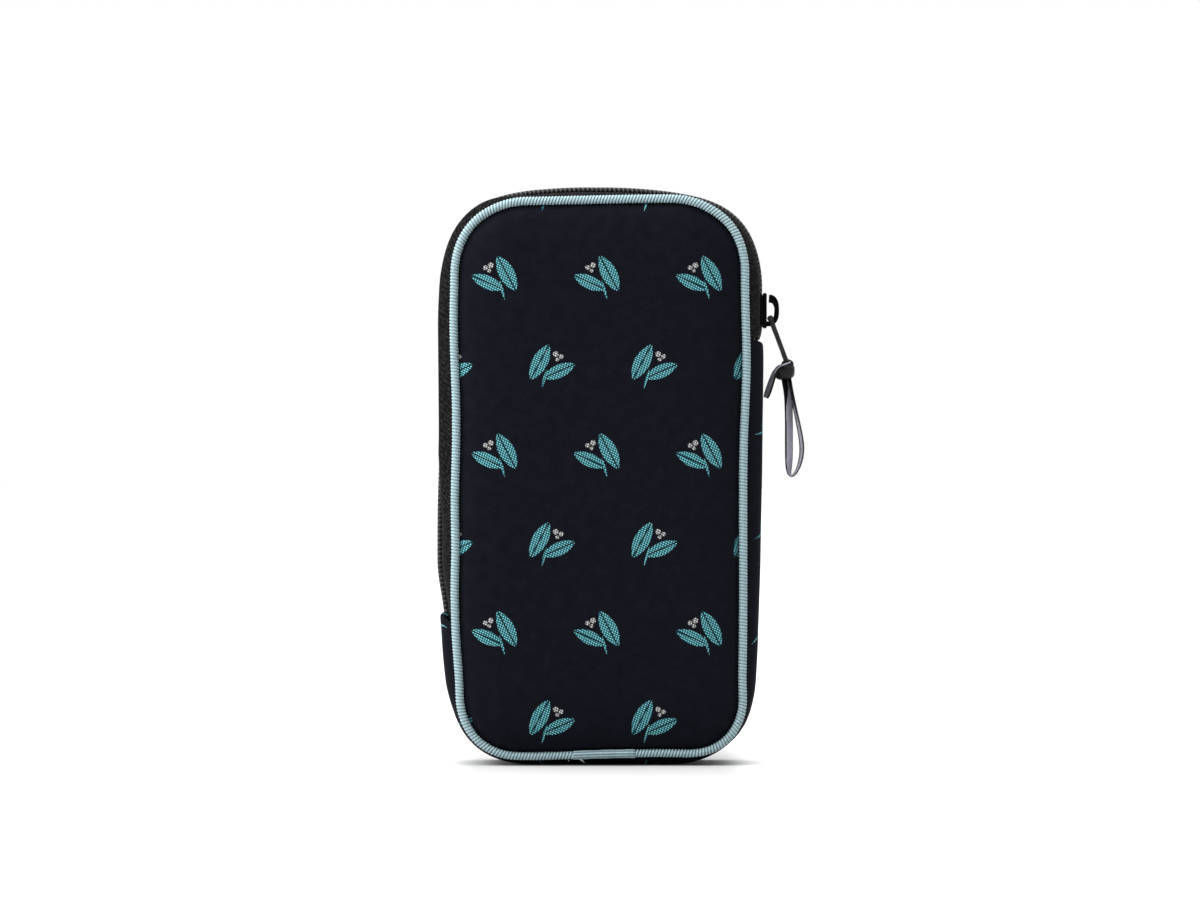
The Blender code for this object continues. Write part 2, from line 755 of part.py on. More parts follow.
def make_ribbon():
    """The ribbon: a turn round the pull's foot, the knot, the hanging loop and the loose tail."""
    radius = ring_radius()
    ring = []
    for k in range(RING_STEPS):
        angle = 2 * math.pi * k / RING_STEPS
        place = Vector((radius * math.cos(angle), 0, radius * math.sin(angle)))
        edge = Vector((0, RING_HALF_WIDTH, 0))
        ring.append([place - edge, place + edge])
    shape_rows = [list(row) for row in zip(*ring)]
    mesh = sheet_mesh("pull_ribbon", shape_rows, closed=True, flip=True)
    ribbon = thicken(add_object("pull_ribbon", mesh, ribbon_finish()), RIBBON_THICKNESS)
    ribbon.modifiers["thickness"].offset = 1
    ribbon.location = ribbon_pivot()

    knot_drop = radius + KNOT_HALF_HEIGHT
    shape = bmesh.new()
    bmesh.ops.create_uvsphere(shape, u_segments=KNOT_SEGMENTS, v_segments=KNOT_RINGS, radius=1)
    for vertex in shape.verts:
        x, y, z = vertex.co
        vertex.co = (x * KNOT_HALF_WIDTH, y * KNOT_HALF_DEPTH, z * KNOT_HALF_HEIGHT)
    mesh = bpy.data.meshes.new("knot")
    shape.to_mesh(mesh)
    shape.free()
    knot = add_object("knot", mesh, ribbon_finish())
    knot.location = ribbon_pivot() + Vector((KNOT_OFFSET, 0, -knot_drop))

    start = knot.location + Vector((LOOP_START, 0, -KNOT_HALF_HEIGHT / 2))
    loop_points = shared_points(start, LOOP_REACH, LOOP_DROP, LOOP_REACH_SHARES, LOOP_DROP_SHARES)
    loop = strap("loop", loop_points, RIBBON_WIDTH, RIBBON_TURN)
    tail_start = knot.location - Vector((KNOT_HALF_WIDTH / 2, 0, 0))
    tail_points = shared_points(
        tail_start, TAIL_REACH, TAIL_DROP, TAIL_REACH_SHARES, TAIL_DROP_SHARES
    )
    tail = strap("tail", tail_points, RIBBON_WIDTH, 0)
    for piece in (knot, loop, tail):
        combine(ribbon, piece, "UNION")


FOLD_BLOCKS = fold_cutters()
make_back()
make_front()
make_gusset()
make_zip()
make_slider()
make_pull()
make_ribbon()
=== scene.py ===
"""The looks of a padded zip-round pouch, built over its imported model.

Metres, +Z up, and the front faces -Y. The file follows the pouch as it is sewn: the studio, the
back, the gusset, the front, the zip, and then the slider with its pull and ribbon.
"""

import math

import bmesh
import bpy
import numpy as np
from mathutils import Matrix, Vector, noise


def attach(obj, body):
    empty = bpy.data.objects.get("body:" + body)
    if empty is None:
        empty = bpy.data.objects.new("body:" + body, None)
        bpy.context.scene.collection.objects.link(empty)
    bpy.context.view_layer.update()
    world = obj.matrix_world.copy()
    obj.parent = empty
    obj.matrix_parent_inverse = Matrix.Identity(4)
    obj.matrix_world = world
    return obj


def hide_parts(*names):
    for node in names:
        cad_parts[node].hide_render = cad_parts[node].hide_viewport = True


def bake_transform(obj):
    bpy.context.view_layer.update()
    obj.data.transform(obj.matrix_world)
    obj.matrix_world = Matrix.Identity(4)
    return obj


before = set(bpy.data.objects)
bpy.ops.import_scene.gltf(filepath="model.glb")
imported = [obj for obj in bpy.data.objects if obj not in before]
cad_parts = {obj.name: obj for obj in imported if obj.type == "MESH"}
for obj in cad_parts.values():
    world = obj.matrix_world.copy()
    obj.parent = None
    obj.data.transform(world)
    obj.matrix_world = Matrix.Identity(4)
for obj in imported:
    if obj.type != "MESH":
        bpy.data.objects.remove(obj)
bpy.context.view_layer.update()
bpy.ops.object.select_all(action="DESELECT")


# The studio. The pouch stands on a pale table in a white room, which is brightest overhead and at
# the left, with one soft lamp high at the front left. The camera is level, 1.7 m in front. To the
# eye the table glows a little, and at both sides and far behind it shows plain white.
MM = 0.001
CAMERA_DISTANCE = 1.72
CAMERA_HEIGHT = 0.1051
CAMERA_LENS = 153.5
FILM_WIDTH = 36.0
TABLE_SIZE = 24.0
TABLE_GREY = (0.5, 0.5, 0.5)
TABLE_GLOW = 0.02
SIDE_GLOW = 0.5
SIDE_GLOW_START = 0.040
SIDE_GLOW_END = 0.058
FAR_GLOW_SHARE = 0.25
ROOM_LIGHT = 0.36
ROOM_FRONT = -0.96
ROOM_LEFT = 1.9
ROOM_ABOVE = 3.6
ROOM_FALL_SIDES = 2.0
ROOM_FALL_ABOVE = 3.0
LAMP_POWER = 2.64
LAMP_SIZE = 0.35
LAMP_PLACE = Vector((-0.42, -0.27, 0.5))

camera_data = bpy.data.cameras.new("camera")
camera_data.lens = CAMERA_LENS
camera_data.sensor_width = FILM_WIDTH
camera = bpy.data.objects.new("camera", camera_data)
camera.location = (0, -CAMERA_DISTANCE, CAMERA_HEIGHT)
camera.rotation_euler = (math.radians(90), 0, 0)
bpy.context.scene.collection.objects.link(camera)
bpy.context.scene.camera = camera
bpy.context.scene.view_settings.view_transform = "Standard"

lamp_data = bpy.data.lights.new("left lamp", "AREA")
lamp_data.energy = LAMP_POWER
lamp_data.size = LAMP_SIZE
lamp = bpy.data.objects.new("left lamp", lamp_data)
lamp.location = LAMP_PLACE
lamp_aim = Vector((0, 0, CAMERA_HEIGHT)) - LAMP_PLACE
lamp.rotation_euler = lamp_aim.to_track_quat("-Z", "Y").to_euler()
bpy.context.scene.collection.objects.link(lamp)


def feed(tree, value, socket):
    """Gives a socket what it takes: another socket, a number or a colour."""
    if isinstance(value, bpy.types.NodeSocket):
        tree.links.new(value, socket)
    else:
        socket.default_value = (*value, 1) if isinstance(value, tuple) else value


def value_of(tree, operation, *inputs):
    """A Math node on sockets or plain numbers, by its output."""
    node = tree.nodes.new("ShaderNodeMath")
    node.operation = operation
    for socket, value in zip(node.inputs, inputs):
        feed(tree, value, socket)
    return node.outputs[0]


def coordinates(tree, kind):
    """The coordinates of one kind, such as Object or UV."""
    return tree.nodes.new("ShaderNodeTexCoord").outputs[kind]


def parts_of(tree, vector):
    """The three numbers of a vector socket."""
    node = tree.nodes.new("ShaderNodeSeparateXYZ")
    tree.links.new(vector, node.inputs[0])
    return node.outputs


def smooth_between(tree, value, low, high):
    """0 below low and 1 above high, with a soft slope between them."""
    node = tree.nodes.new("ShaderNodeMapRange")
    node.interpolation_type = "SMOOTHSTEP"
    node.inputs["From Min"].default_value = low
    node.inputs["From Max"].default_value = high
    tree.links.new(value, node.inputs["Value"])
    return node.outputs[0]


def background_ray(tree):
    """1 for a ray that reaches the eye straight, from a gloss or through glass."""
    path = tree.nodes.new("ShaderNodeLightPath")
    mirrored = value_of(
        tree,
        "MAXIMUM",
        path.outputs["Is Glossy Ray"],
        path.outputs["Is Transmission Ray"],
    )
    return value_of(tree, "MAXIMUM", path.outputs["Is Camera Ray"], mirrored)


def new_finish(name, specular, roughness=0.5):
    """A material, with its node tree and its shader."""
    made = bpy.data.materials.new(name)
    made.use_nodes = True
    shader = made.node_tree.nodes["Principled BSDF"]
    shader.inputs["Roughness"].default_value = roughness
    shader.inputs["Specular IOR Level"].default_value = specular
    return made, made.node_tree, shader


world = bpy.data.worlds.new("white room")
world.use_nodes = True
room = world.node_tree
room_x, room_y, room_z = parts_of(room, coordinates(room, "Generated"))
room_lit = ROOM_LIGHT
for way, fall, strength in (
    (room_z, ROOM_FALL_ABOVE, ROOM_ABOVE),
    (value_of(room, "MULTIPLY", room_y, -1.0), ROOM_FALL_SIDES, ROOM_FRONT),
    (value_of(room, "MULTIPLY", room_x, -1.0), ROOM_FALL_SIDES, ROOM_LEFT),
):
    raised = value_of(room, "POWER", value_of(room, "MAXIMUM", way, 0.0), fall)
    room_lit = value_of(room, "MULTIPLY_ADD", raised, strength, room_lit)
straight = background_ray(room)
not_straight = value_of(room, "SUBTRACT", 1.0, straight)
room_strength = value_of(room, "MULTIPLY_ADD", room_lit, not_straight, straight)
room.nodes["Background"].inputs["Color"].default_value = (1, 1, 1, 1)
room.links.new(room_strength, room.nodes["Background"].inputs["Strength"])
bpy.context.scene.world = world

bpy.ops.mesh.primitive_plane_add(size=TABLE_SIZE, location=(0, 0, 0))
table = bpy.context.active_object
table.name = "white_table"
table_finish, table_tree, table_shader = new_finish("white table", specular=0.0, roughness=1.0)
feed(table_tree, TABLE_GREY, table_shader.inputs["Base Color"])
table_shader.inputs["Emission Color"].default_value = (1, 1, 1, 1)
table_x, table_y, _ = parts_of(table_tree, coordinates(table_tree, "Object"))
off_middle = value_of(
    table_tree,
    "MAXIMUM",
    value_of(table_tree, "ABSOLUTE", table_x),
    value_of(table_tree, "MULTIPLY", table_y, FAR_GLOW_SHARE),
)
beside = smooth_between(table_tree, off_middle, SIDE_GLOW_START, SIDE_GLOW_END)
glow = value_of(table_tree, "MULTIPLY_ADD", beside, SIDE_GLOW, TABLE_GLOW)
seen_glow = value_of(table_tree, "MULTIPLY", glow, background_ray(table_tree))
table_tree.links.new(seen_glow, table_shader.inputs["Emission Strength"])
table.data.materials.append(table_finish)


# The back panel. A crowned, foam-backed pad of printed cloth, sewn in at its edge behind the
# piping. Its outline is a tall rounded shape, a little narrower at the foot. As soft work it isn't
# even: the seam and the skin of the side band dip and bulge by up to 2 mm.
SEAM_HALF_WIDTH = 50.2 * MM
SEAM_TAPER = 0.8 * MM
SEAM_LOW = 1.7 * MM
SEAM_HIGH = 189.7 * MM
SEAM_TOP_RADIUS = 26.0 * MM
SEAM_BOTTOM_RADIUS = 21.5 * MM
SEAM_HALF_DEPTH = 16.6 * MM
LEAST_RADIUS = 1.0 * MM
CORNER_STEPS = 20
SIDE_STEPS = 40
END_STEPS = 9

OUTLINE_MIDDLE = 96.6 * MM
MOVE_BLUR = (-2, -1, 0, 1, 2)
SEAM_MOVES = (
    (0, -0.6), (15, -0.45), (27, 0.0), (36, 0.35), (42, 0.25), (52, -0.35), (55, -0.4), (58, 0.1),
    (61, 0.65), (64, 0.75), (69, 0.55), (78, 0.7), (86, 0.5), (95, 0.2), (104, -0.15), (111, -0.1),
    (114, 0.2), (117, 0.3), (121, 0.1), (125, -0.3), (131, 0.15), (135, 0.2), (143, -0.1),
    (153, -0.5), (166, -0.45), (180, -0.1), (190, 0.15), (208, 0.0), (219, 0.4), (228, 0.1),
    (231, -0.3), (236, -1.2), (239, -1.15), (242, -0.75), (245, -0.3), (252, 0.0), (257, 0.15),
    (262, -0.15), (270, -0.5), (280, -0.95), (287, -0.9), (291, -0.2), (294, 0.4), (299, 0.35),
    (302, -0.2), (305, -0.6), (308, -0.35), (320, -0.35), (340, -0.5), (360, -0.6),
)
SKIN_MOVES = (
    (0, 0.55), (37, 0.6), (39, 0.45), (41, 0.0), (53, 0.0), (55, 0.3), (58, 0.7), (61, 0.85),
    (64, 0.45), (66, -0.05), (69, -0.85), (72, -1.5), (75, -1.75), (78, -1.15), (82, -0.5),
    (86, -0.1), (95, -0.05), (100, -0.5), (104, -1.15), (107, -1.15), (111, -0.5), (114, -0.05),
    (117, 0.2), (121, -0.1), (125, -0.85), (128, -1.15), (131, -0.75), (135, -0.2), (166, -0.1),
    (180, 0.4), (190, 0.9), (208, 1.2), (214, 1.0), (219, 0.6), (224, 0.0), (228, -0.35),
    (231, -0.9), (234, -1.8), (236, -2.0), (238, -1.75), (242, -0.6), (246, 0.0), (298, 0.0),
    (300, 0.2), (302, -0.4), (305, -1.0), (308, -0.8), (312, -0.25), (330, 0.3), (360, 0.55),
)

PANEL_INSET = 2.95 * MM
PANEL_ROLL_START = 16.5 * MM
PANEL_ROLL_RISE = 1.2 * MM
PANEL_ROLL = 0.5 * MM
PANEL_CROWN = 3.4 * MM
CROWN_ROLL = 5.5 * MM
PAD_THICKNESS = 4.0 * MM
PANEL_RINGS = 26
PANEL_RING_POWER = 1.35
PANEL_CORE_LOW = 48.0 * MM
PANEL_CORE_HIGH = 142.0 * MM
CLOTH_UNEVEN = 0.14 * MM
CLOTH_UNEVEN_SIZE = 14.0 * MM
SEWN_REACH = 0.02 * MM


def rounded_outline(half_width, taper, low, high, top_radius, bottom_radius, moves):
    """Points and outward normals of a tall rounded shape, anticlockwise from mid-foot.

    moves gives (direction from the middle in degrees, how far out in mm) for its unevenness.
    """
    foot_half = half_width - taper
    corners = (
        (foot_half - bottom_radius, low + bottom_radius, bottom_radius, -90),
        (half_width - top_radius, high - top_radius, top_radius, 0),
        (top_radius - half_width, high - top_radius, top_radius, 90),
        (bottom_radius - foot_half, low + bottom_radius, bottom_radius, 180),
    )
    start = (Vector((0, 0, low)), Vector((0, 0, -1)))
    found = [start]
    previous = start
    for corner, steps in zip(corners, (END_STEPS, SIDE_STEPS, 2 * END_STEPS, SIDE_STEPS)):
        x, z, radius, first = corner
        arc = []
        for k in range(CORNER_STEPS + 1):
            angle = math.radians(first + 90 * k / CORNER_STEPS)
            normal = Vector((math.cos(angle), 0, math.sin(angle)))
            arc.append((Vector((x, 0, z)) + radius * normal, normal))
        for k in range(1, steps):
            found.append((previous[0].lerp(arc[0][0], k / steps), arc[0][1]))
        found += arc
        previous = arc[-1]
    for k in range(1, END_STEPS):
        found.append((previous[0].lerp(start[0], k / END_STEPS), start[1]))
    ways, reaches = zip(*moves)
    settled = []
    for p, normal in found:
        way = math.degrees(math.atan2(p.z - OUTLINE_MIDDLE, p.x))
        near = [np.interp((way + d) % 360, ways, reaches) for d in MOVE_BLUR]
        settled.append(p + float(np.mean(near)) * MM * normal)
    return settled, [n for _, n in found]


def seam_outline(inset):
    """The outline of the piping's outer edge, moved inwards."""
    return rounded_outline(
        SEAM_HALF_WIDTH - inset,
        SEAM_TAPER,
        SEAM_LOW + inset,
        SEAM_HIGH - inset,
        max(SEAM_TOP_RADIUS - inset, LEAST_RADIUS),
        max(SEAM_BOTTOM_RADIUS - inset, LEAST_RADIUS),
        SEAM_MOVES,
    )


def piece_of(name, points, faces):
    """A piece in the scene, from its points and faces."""
    mesh = bpy.data.meshes.new(name)
    mesh.from_pydata([tuple(p) for p in points], [], faces)
    made = bpy.data.objects.new(name, mesh)
    bpy.context.scene.collection.objects.link(made)
    return made


def laid_cloth(name, rows, joins_round=False, joins_across=False, flat_place=None):
    """A surface through rows of points. flat_place gives a point's place on the flat cloth."""
    row_count, width = len(rows), len(rows[0])
    faces, corners = [], []
    for i in range(row_count if joins_round else row_count - 1):
        for j in range(width if joins_across else width - 1):
            square = ((i, j), (i, j + 1), (i + 1, j + 1), (i + 1, j))
            faces.append([(a % row_count) * width + b % width for a, b in square])
            corners += square
    made = piece_of(name, [p for row in rows for p in row], faces)
    if flat_place:
        layer = made.data.uv_layers.new(name="cloth")
        layer.data.foreach_set("uv", [c for a, b in corners for c in flat_place(a, b)])
    made.data.validate()
    return made


def pick(piece):
    """Makes a piece the only one selected, and the active one."""
    bpy.ops.object.select_all(action="DESELECT")
    piece.select_set(True)
    bpy.context.view_layer.objects.active = piece


def merge_points(piece, distance):
    """Merges the points that lie on each other, and turns the faces outwards."""
    pick(piece)
    bpy.ops.object.mode_set(mode="EDIT")
    bpy.ops.mesh.select_all(action="SELECT")
    bpy.ops.mesh.remove_doubles(threshold=distance)
    bpy.ops.mesh.normals_make_consistent(inside=False)
    bpy.ops.object.mode_set(mode="OBJECT")


def give_thickness(piece, thickness):
    """Gives a laid cloth its wall, inwards from its face."""
    pick(piece)
    solidify = piece.modifiers.new("wall", "SOLIDIFY")
    solidify.thickness = thickness
    solidify.offset = -1.0
    solidify.use_even_offset = True
    bpy.ops.object.modifier_apply(modifier=solidify.name)
    bpy.ops.object.shade_smooth()


def panel_depth(inset):
    """How far out a panel's face lies, at a distance in from the piping's outer edge."""
    past = max(inset - PANEL_INSET, 0.0)
    roll = PANEL_ROLL_RISE * (1 - math.exp(-past / PANEL_ROLL))
    return PANEL_ROLL_START + roll + PANEL_CROWN * (1 - math.exp(-past / CROWN_ROLL))


def panel_rows(side, first_inset, sunk, uneven):
    """Rings of points from a panel's edge to the line up its middle. side is -1 in front."""
    edge, _ = seam_outline(first_inset)
    seam_points, _ = seam_outline(0.0)
    seam = np.array([(p.x, p.z) for p in seam_points])
    seam_next = np.roll(seam, -1, axis=0)
    span = seam_next - seam
    rows = []
    for k in range(PANEL_RINGS + 1):
        share = 1 - (1 - k / PANEL_RINGS) ** PANEL_RING_POWER if k else 0.0
        row = []
        for p in edge:
            core = Vector((0, 0, min(max(p.z, PANEL_CORE_LOW), PANEL_CORE_HIGH)))
            q = p.lerp(core, share)
            to_point = np.array((q.x, q.z)) - seam
            along = np.clip((to_point * span).sum(1) / (span * span).sum(1), 0, 1)
            inset = float(np.sqrt(((to_point - along[:, None] * span) ** 2).sum(1)).min())
            swell = noise.noise(Vector((q.x, side, q.z)) / CLOTH_UNEVEN_SIZE)
            out = panel_depth(inset) - sunk + uneven * swell * min(1.0, inset / CROWN_ROLL)
            row.append(Vector((q.x, side * out, q.z)))
        rows.append(row)
    return rows


def lay_flat(piece):
    """Gives a panel's cloth its flat layer: each point's X and Z before anything moves."""
    mesh = piece.data
    places = np.empty(3 * len(mesh.vertices))
    mesh.vertices.foreach_get("co", places)
    corners = np.empty(len(mesh.loops), dtype=int)
    mesh.loops.foreach_get("vertex_index", corners)
    layer = mesh.uv_layers.new(name="cloth")
    layer.data.foreach_set("uv", places.reshape(-1, 3)[corners][:, ::2].ravel())


def sewn_panel(name, side, first_inset, sunk, thickness, uneven):
    """A crowned panel or lining, closed all round, with its face outwards."""
    made = laid_cloth(name, panel_rows(side, first_inset, sunk, uneven), joins_across=True)
    merge_points(made, SEWN_REACH)
    top = max(made.data.polygons, key=lambda f: side * f.center.y)
    if top.normal.y * side < 0:
        made.data.flip_normals()
    give_thickness(made, thickness)
    lay_flat(made)
    return made


back_cover = sewn_panel("back_cover", 1, PANEL_INSET, 0.0, PAD_THICKNESS, CLOTH_UNEVEN)
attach(back_cover, "body")
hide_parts("back_panel", "back_foam")


# The printed cloth. A fine navy-black weave with a scattered woven motif, a two-leaf sprig in teal
# with silver berries, in rows like bricks that lean by turns. It lies on the cloth's flat layer.
CLOTH_BLACK = (0.0022, 0.0026, 0.0052)
CLOTH_BLUE = (0.0050, 0.0056, 0.0104)
LEAF_TEAL = (0.004, 0.08, 0.102)
LEAF_LIGHT = (0.25, 0.62, 0.65)
BERRY_DARK = (0.14, 0.14, 0.145)
BERRY_SILVER = (0.70, 0.69, 0.69)
THREAD_PITCH = 0.42 * MM
SLUB_LENGTHWISE = 420.0
SLUB_CROSSWISE = 1900.0
DOT_PITCH = 0.8 * MM
DOT_SLANTS = ((0.5, 1.0), (0.95, -0.3))
DOT_LEVEL = 0.6
DOT_SOFTNESS = 0.7
PATCH_SCALE = 240.0
PATCH_SHARE = 1.4
PATCH_LEVEL = 0.7
CLOTH_RELIEF = 0.05 * MM
LEAF_RELIEF_SHARE = 0.5
CLOTH_ROUGHNESS = 0.62
CLOTH_ROUGHNESS_SPREAD = 0.15
SPRIG_SPACING = 34.0 * MM
SPRIG_ROW = 29.5 * MM
SOFT_EDGE = 0.09 * MM
LEAF_RIB = 0.22 * MM
LEAST_RIBBED = 1.0
LEAVES = (
    ((-3.0, 1.5), 62, 6.8, 2.6),
    ((3.4, -1.5), 24, 6.0, 2.2),
    ((-1.5, -4.0), 75, 3.3, 0.4),
)
BERRIES = (((2.3, 4.2), 0, 0.9, 0.9), ((4.1, 3.4), 0, 0.75, 0.75), ((2.8, 2.4), 0, 0.6, 0.6))


def new_group(name, inputs, outputs):
    """An empty shader node group with its two end nodes. All its sockets but Vector are numbers."""
    tree = bpy.data.node_groups.new(name, "ShaderNodeTree")
    for direction, socket_names in (("INPUT", inputs), ("OUTPUT", outputs)):
        for socket_name in socket_names:
            kind = "NodeSocketVector" if socket_name == "Vector" else "NodeSocketFloat"
            tree.interface.new_socket(socket_name, in_out=direction, socket_type=kind)
    return tree, tree.nodes.new("NodeGroupInput"), tree.nodes.new("NodeGroupOutput")


def place_group(tree, group, **given):
    """A node group placed in a tree, with sockets or plain numbers given by name."""
    node = tree.nodes.new("ShaderNodeGroup")
    node.node_tree = group
    for key, value in given.items():
        feed(tree, value, node.inputs[key.replace("_", " ")])
    return node


def flat_vector(tree, first, second):
    """A vector socket from two numbers."""
    node = tree.nodes.new("ShaderNodeCombineXYZ")
    feed(tree, first, node.inputs[0])
    feed(tree, second, node.inputs[1])
    return node.outputs[0]


def noise_over(tree, vector, scale, detail=2.0):
    """A noise texture's share from 0 to 1, over a vector socket."""
    node = tree.nodes.new("ShaderNodeTexNoise")
    node.inputs["Scale"].default_value = scale
    node.inputs["Detail"].default_value = detail
    tree.links.new(vector, node.inputs["Vector"])
    return node.outputs["Fac"]


def soft_step(tree, value, width):
    """0 below zero and 1 above, with a soft edge."""
    return smooth_between(tree, value, -width, width)


def clamped(tree, *inputs):
    """The first input times the second plus the third, kept between 0 and 1."""
    found = value_of(tree, "MULTIPLY_ADD", *inputs)
    found.node.use_clamp = True
    return found


def mixed(tree, share, first, second):
    """A mix of two colours, given as sockets or as plain colours."""
    node = tree.nodes.new("ShaderNodeMix")
    node.data_type = "RGBA"
    for number, value in ((0, share), (6, first), (7, second)):
        feed(tree, value, node.inputs[number])
    return node.outputs[2]


def bump_from(tree, height, distance):
    """A Bump node's normal from a height socket."""
    node = tree.nodes.new("ShaderNodeBump")
    node.inputs["Strength"].default_value = 1.0
    node.inputs["Distance"].default_value = distance
    tree.links.new(height, node.inputs["Height"])
    return node.outputs[0]


leaf_tree, leaf_in, leaf_out = new_group(
    "leaf shape",
    ("Vector", "X", "Y", "Angle", "Half Length", "Half Width"),
    ("Inside", "Off Rib"),
)
leaf_x, leaf_y, _ = parts_of(leaf_tree, leaf_in.outputs["Vector"])
leaf_x = value_of(leaf_tree, "SUBTRACT", leaf_x, leaf_in.outputs["X"])
leaf_y = value_of(leaf_tree, "SUBTRACT", leaf_y, leaf_in.outputs["Y"])
leaf_cos = value_of(leaf_tree, "COSINE", leaf_in.outputs["Angle"])
leaf_sin = value_of(leaf_tree, "SINE", leaf_in.outputs["Angle"])
leaf_up = value_of(leaf_tree, "MULTIPLY", leaf_y, leaf_sin)
along_leaf = value_of(leaf_tree, "MULTIPLY_ADD", leaf_x, leaf_cos, leaf_up)
across_leaf = value_of(
    leaf_tree,
    "SUBTRACT",
    value_of(leaf_tree, "MULTIPLY", leaf_y, leaf_cos),
    value_of(leaf_tree, "MULTIPLY", leaf_x, leaf_sin),
)
off_rib = value_of(leaf_tree, "ABSOLUTE", across_leaf)
length_squared = value_of(leaf_tree, "POWER", leaf_in.outputs["Half Length"], 2.0)
width_squared = value_of(leaf_tree, "POWER", leaf_in.outputs["Half Width"], 2.0)
edge_radius = value_of(
    leaf_tree,
    "DIVIDE",
    value_of(leaf_tree, "ADD", length_squared, width_squared),
    value_of(leaf_tree, "MULTIPLY", leaf_in.outputs["Half Width"], 2.0),
)
edge_shift = value_of(leaf_tree, "SUBTRACT", edge_radius, leaf_in.outputs["Half Width"])
shifted = value_of(leaf_tree, "ADD", off_rib, edge_shift)
along_squared = value_of(leaf_tree, "MULTIPLY", along_leaf, along_leaf)
from_centre = value_of(
    leaf_tree, "SQRT", value_of(leaf_tree, "MULTIPLY_ADD", shifted, shifted, along_squared)
)
inside_leaf = value_of(leaf_tree, "SUBTRACT", edge_radius, from_centre)
leaf_tree.links.new(inside_leaf, leaf_out.inputs["Inside"])
leaf_tree.links.new(off_rib, leaf_out.inputs["Off Rib"])

weave_tree, weave_in, weave_out = new_group(
    "plain weave", ("Vector", "Pitch"), ("Height", "Thread")
)
weave_u, weave_v, _ = parts_of(weave_tree, weave_in.outputs["Vector"])
thread_turn = value_of(weave_tree, "DIVIDE", math.pi, weave_in.outputs["Pitch"])
across_u = value_of(weave_tree, "SINE", value_of(weave_tree, "MULTIPLY", weave_u, thread_turn))
across_v = value_of(weave_tree, "SINE", value_of(weave_tree, "MULTIPLY", weave_v, thread_turn))
over_under = value_of(weave_tree, "MULTIPLY", across_u, across_v)
weave_height = value_of(weave_tree, "MULTIPLY_ADD", over_under, 0.5, 0.5)
weave_tree.links.new(weave_height, weave_out.inputs["Height"])
slub_place = flat_vector(
    weave_tree,
    value_of(weave_tree, "MULTIPLY", weave_u, SLUB_LENGTHWISE),
    value_of(weave_tree, "MULTIPLY", weave_v, SLUB_CROSSWISE),
)
weave_tree.links.new(noise_over(weave_tree, slub_place, 1.0), weave_out.inputs["Thread"])

print_tree, print_in, print_out = new_group("sprig print", ("Vector",), ("Leaf", "Berry"))


def in_cell(value, size):
    """Where a place lies in its cell of the pattern, from the cell's middle."""
    wrapped = value_of(print_tree, "FLOORED_MODULO", value, size)
    return value_of(print_tree, "SUBTRACT", wrapped, size / 2)


def cover_of(shapes, place):
    """Where any of some leaves, stems or berries covers the cloth."""
    cover = 0.0
    for (x, y), angle, half_length, half_width in shapes:
        leaf = place_group(
            print_tree,
            leaf_tree,
            Vector=place,
            X=x * MM,
            Y=y * MM,
            Angle=math.radians(angle),
            Half_Length=half_length * MM,
            Half_Width=half_width * MM,
        )
        filled = soft_step(print_tree, leaf.outputs["Inside"], SOFT_EDGE)
        if half_width > LEAST_RIBBED:
            off = value_of(print_tree, "SUBTRACT", leaf.outputs["Off Rib"], LEAF_RIB)
            beside_rib = soft_step(print_tree, off, SOFT_EDGE)
            filled = value_of(print_tree, "MULTIPLY", filled, beside_rib)
        cover = value_of(print_tree, "MAXIMUM", cover, filled)
    return cover


flat_u, flat_v, _ = parts_of(print_tree, print_in.outputs["Vector"])
row_number = value_of(print_tree, "FLOOR", value_of(print_tree, "DIVIDE", flat_v, SPRIG_ROW))
odd_row = value_of(print_tree, "FLOORED_MODULO", row_number, 2.0)
shifted_u = value_of(print_tree, "MULTIPLY_ADD", odd_row, SPRIG_SPACING / 2, flat_u)
turned_by = value_of(print_tree, "MULTIPLY_ADD", odd_row, -2.0, 1.0)
cell_u = value_of(print_tree, "MULTIPLY", in_cell(shifted_u, SPRIG_SPACING), turned_by)
cell = flat_vector(print_tree, cell_u, in_cell(flat_v, SPRIG_ROW))
print_tree.links.new(cover_of(LEAVES, cell), print_out.inputs["Leaf"])
print_tree.links.new(cover_of(BERRIES, cell), print_out.inputs["Berry"])

sprig_cloth, sprig_tree, sprig_shader = new_finish("printed cloth", specular=0.06)
sprig_flat = coordinates(sprig_tree, "UV")
sprig_weave = place_group(sprig_tree, weave_tree, Vector=sprig_flat, Pitch=THREAD_PITCH)
sprig = place_group(sprig_tree, print_tree, Vector=sprig_flat)
sprig_u, sprig_v, _ = parts_of(sprig_tree, sprig_flat)
dots = []
for across, upwards in DOT_SLANTS:
    upward = value_of(sprig_tree, "MULTIPLY", sprig_v, upwards)
    slanted = value_of(sprig_tree, "MULTIPLY_ADD", sprig_u, across, upward)
    turned = value_of(sprig_tree, "MULTIPLY", slanted, 2 * math.pi / DOT_PITCH)
    dots.append(value_of(sprig_tree, "SINE", turned))
dot_height = value_of(sprig_tree, "SUBTRACT", value_of(sprig_tree, "ADD", *dots), DOT_LEVEL)
dot_share = soft_step(sprig_tree, dot_height, DOT_SOFTNESS)
patches = noise_over(sprig_tree, sprig_flat, PATCH_SCALE)
slubs = value_of(sprig_tree, "SUBTRACT", sprig_weave.outputs["Thread"], PATCH_LEVEL)
ground_share = clamped(sprig_tree, patches, PATCH_SHARE, slubs)
ground = mixed(sprig_tree, ground_share, CLOTH_BLACK, CLOTH_BLUE)
teal = mixed(sprig_tree, dot_share, LEAF_TEAL, LEAF_LIGHT)
silver = mixed(sprig_tree, dot_share, BERRY_DARK, BERRY_SILVER)
leafy = mixed(sprig_tree, sprig.outputs["Leaf"], ground, teal)
sprig_tree.links.new(
    mixed(sprig_tree, sprig.outputs["Berry"], leafy, silver), sprig_shader.inputs["Base Color"]
)
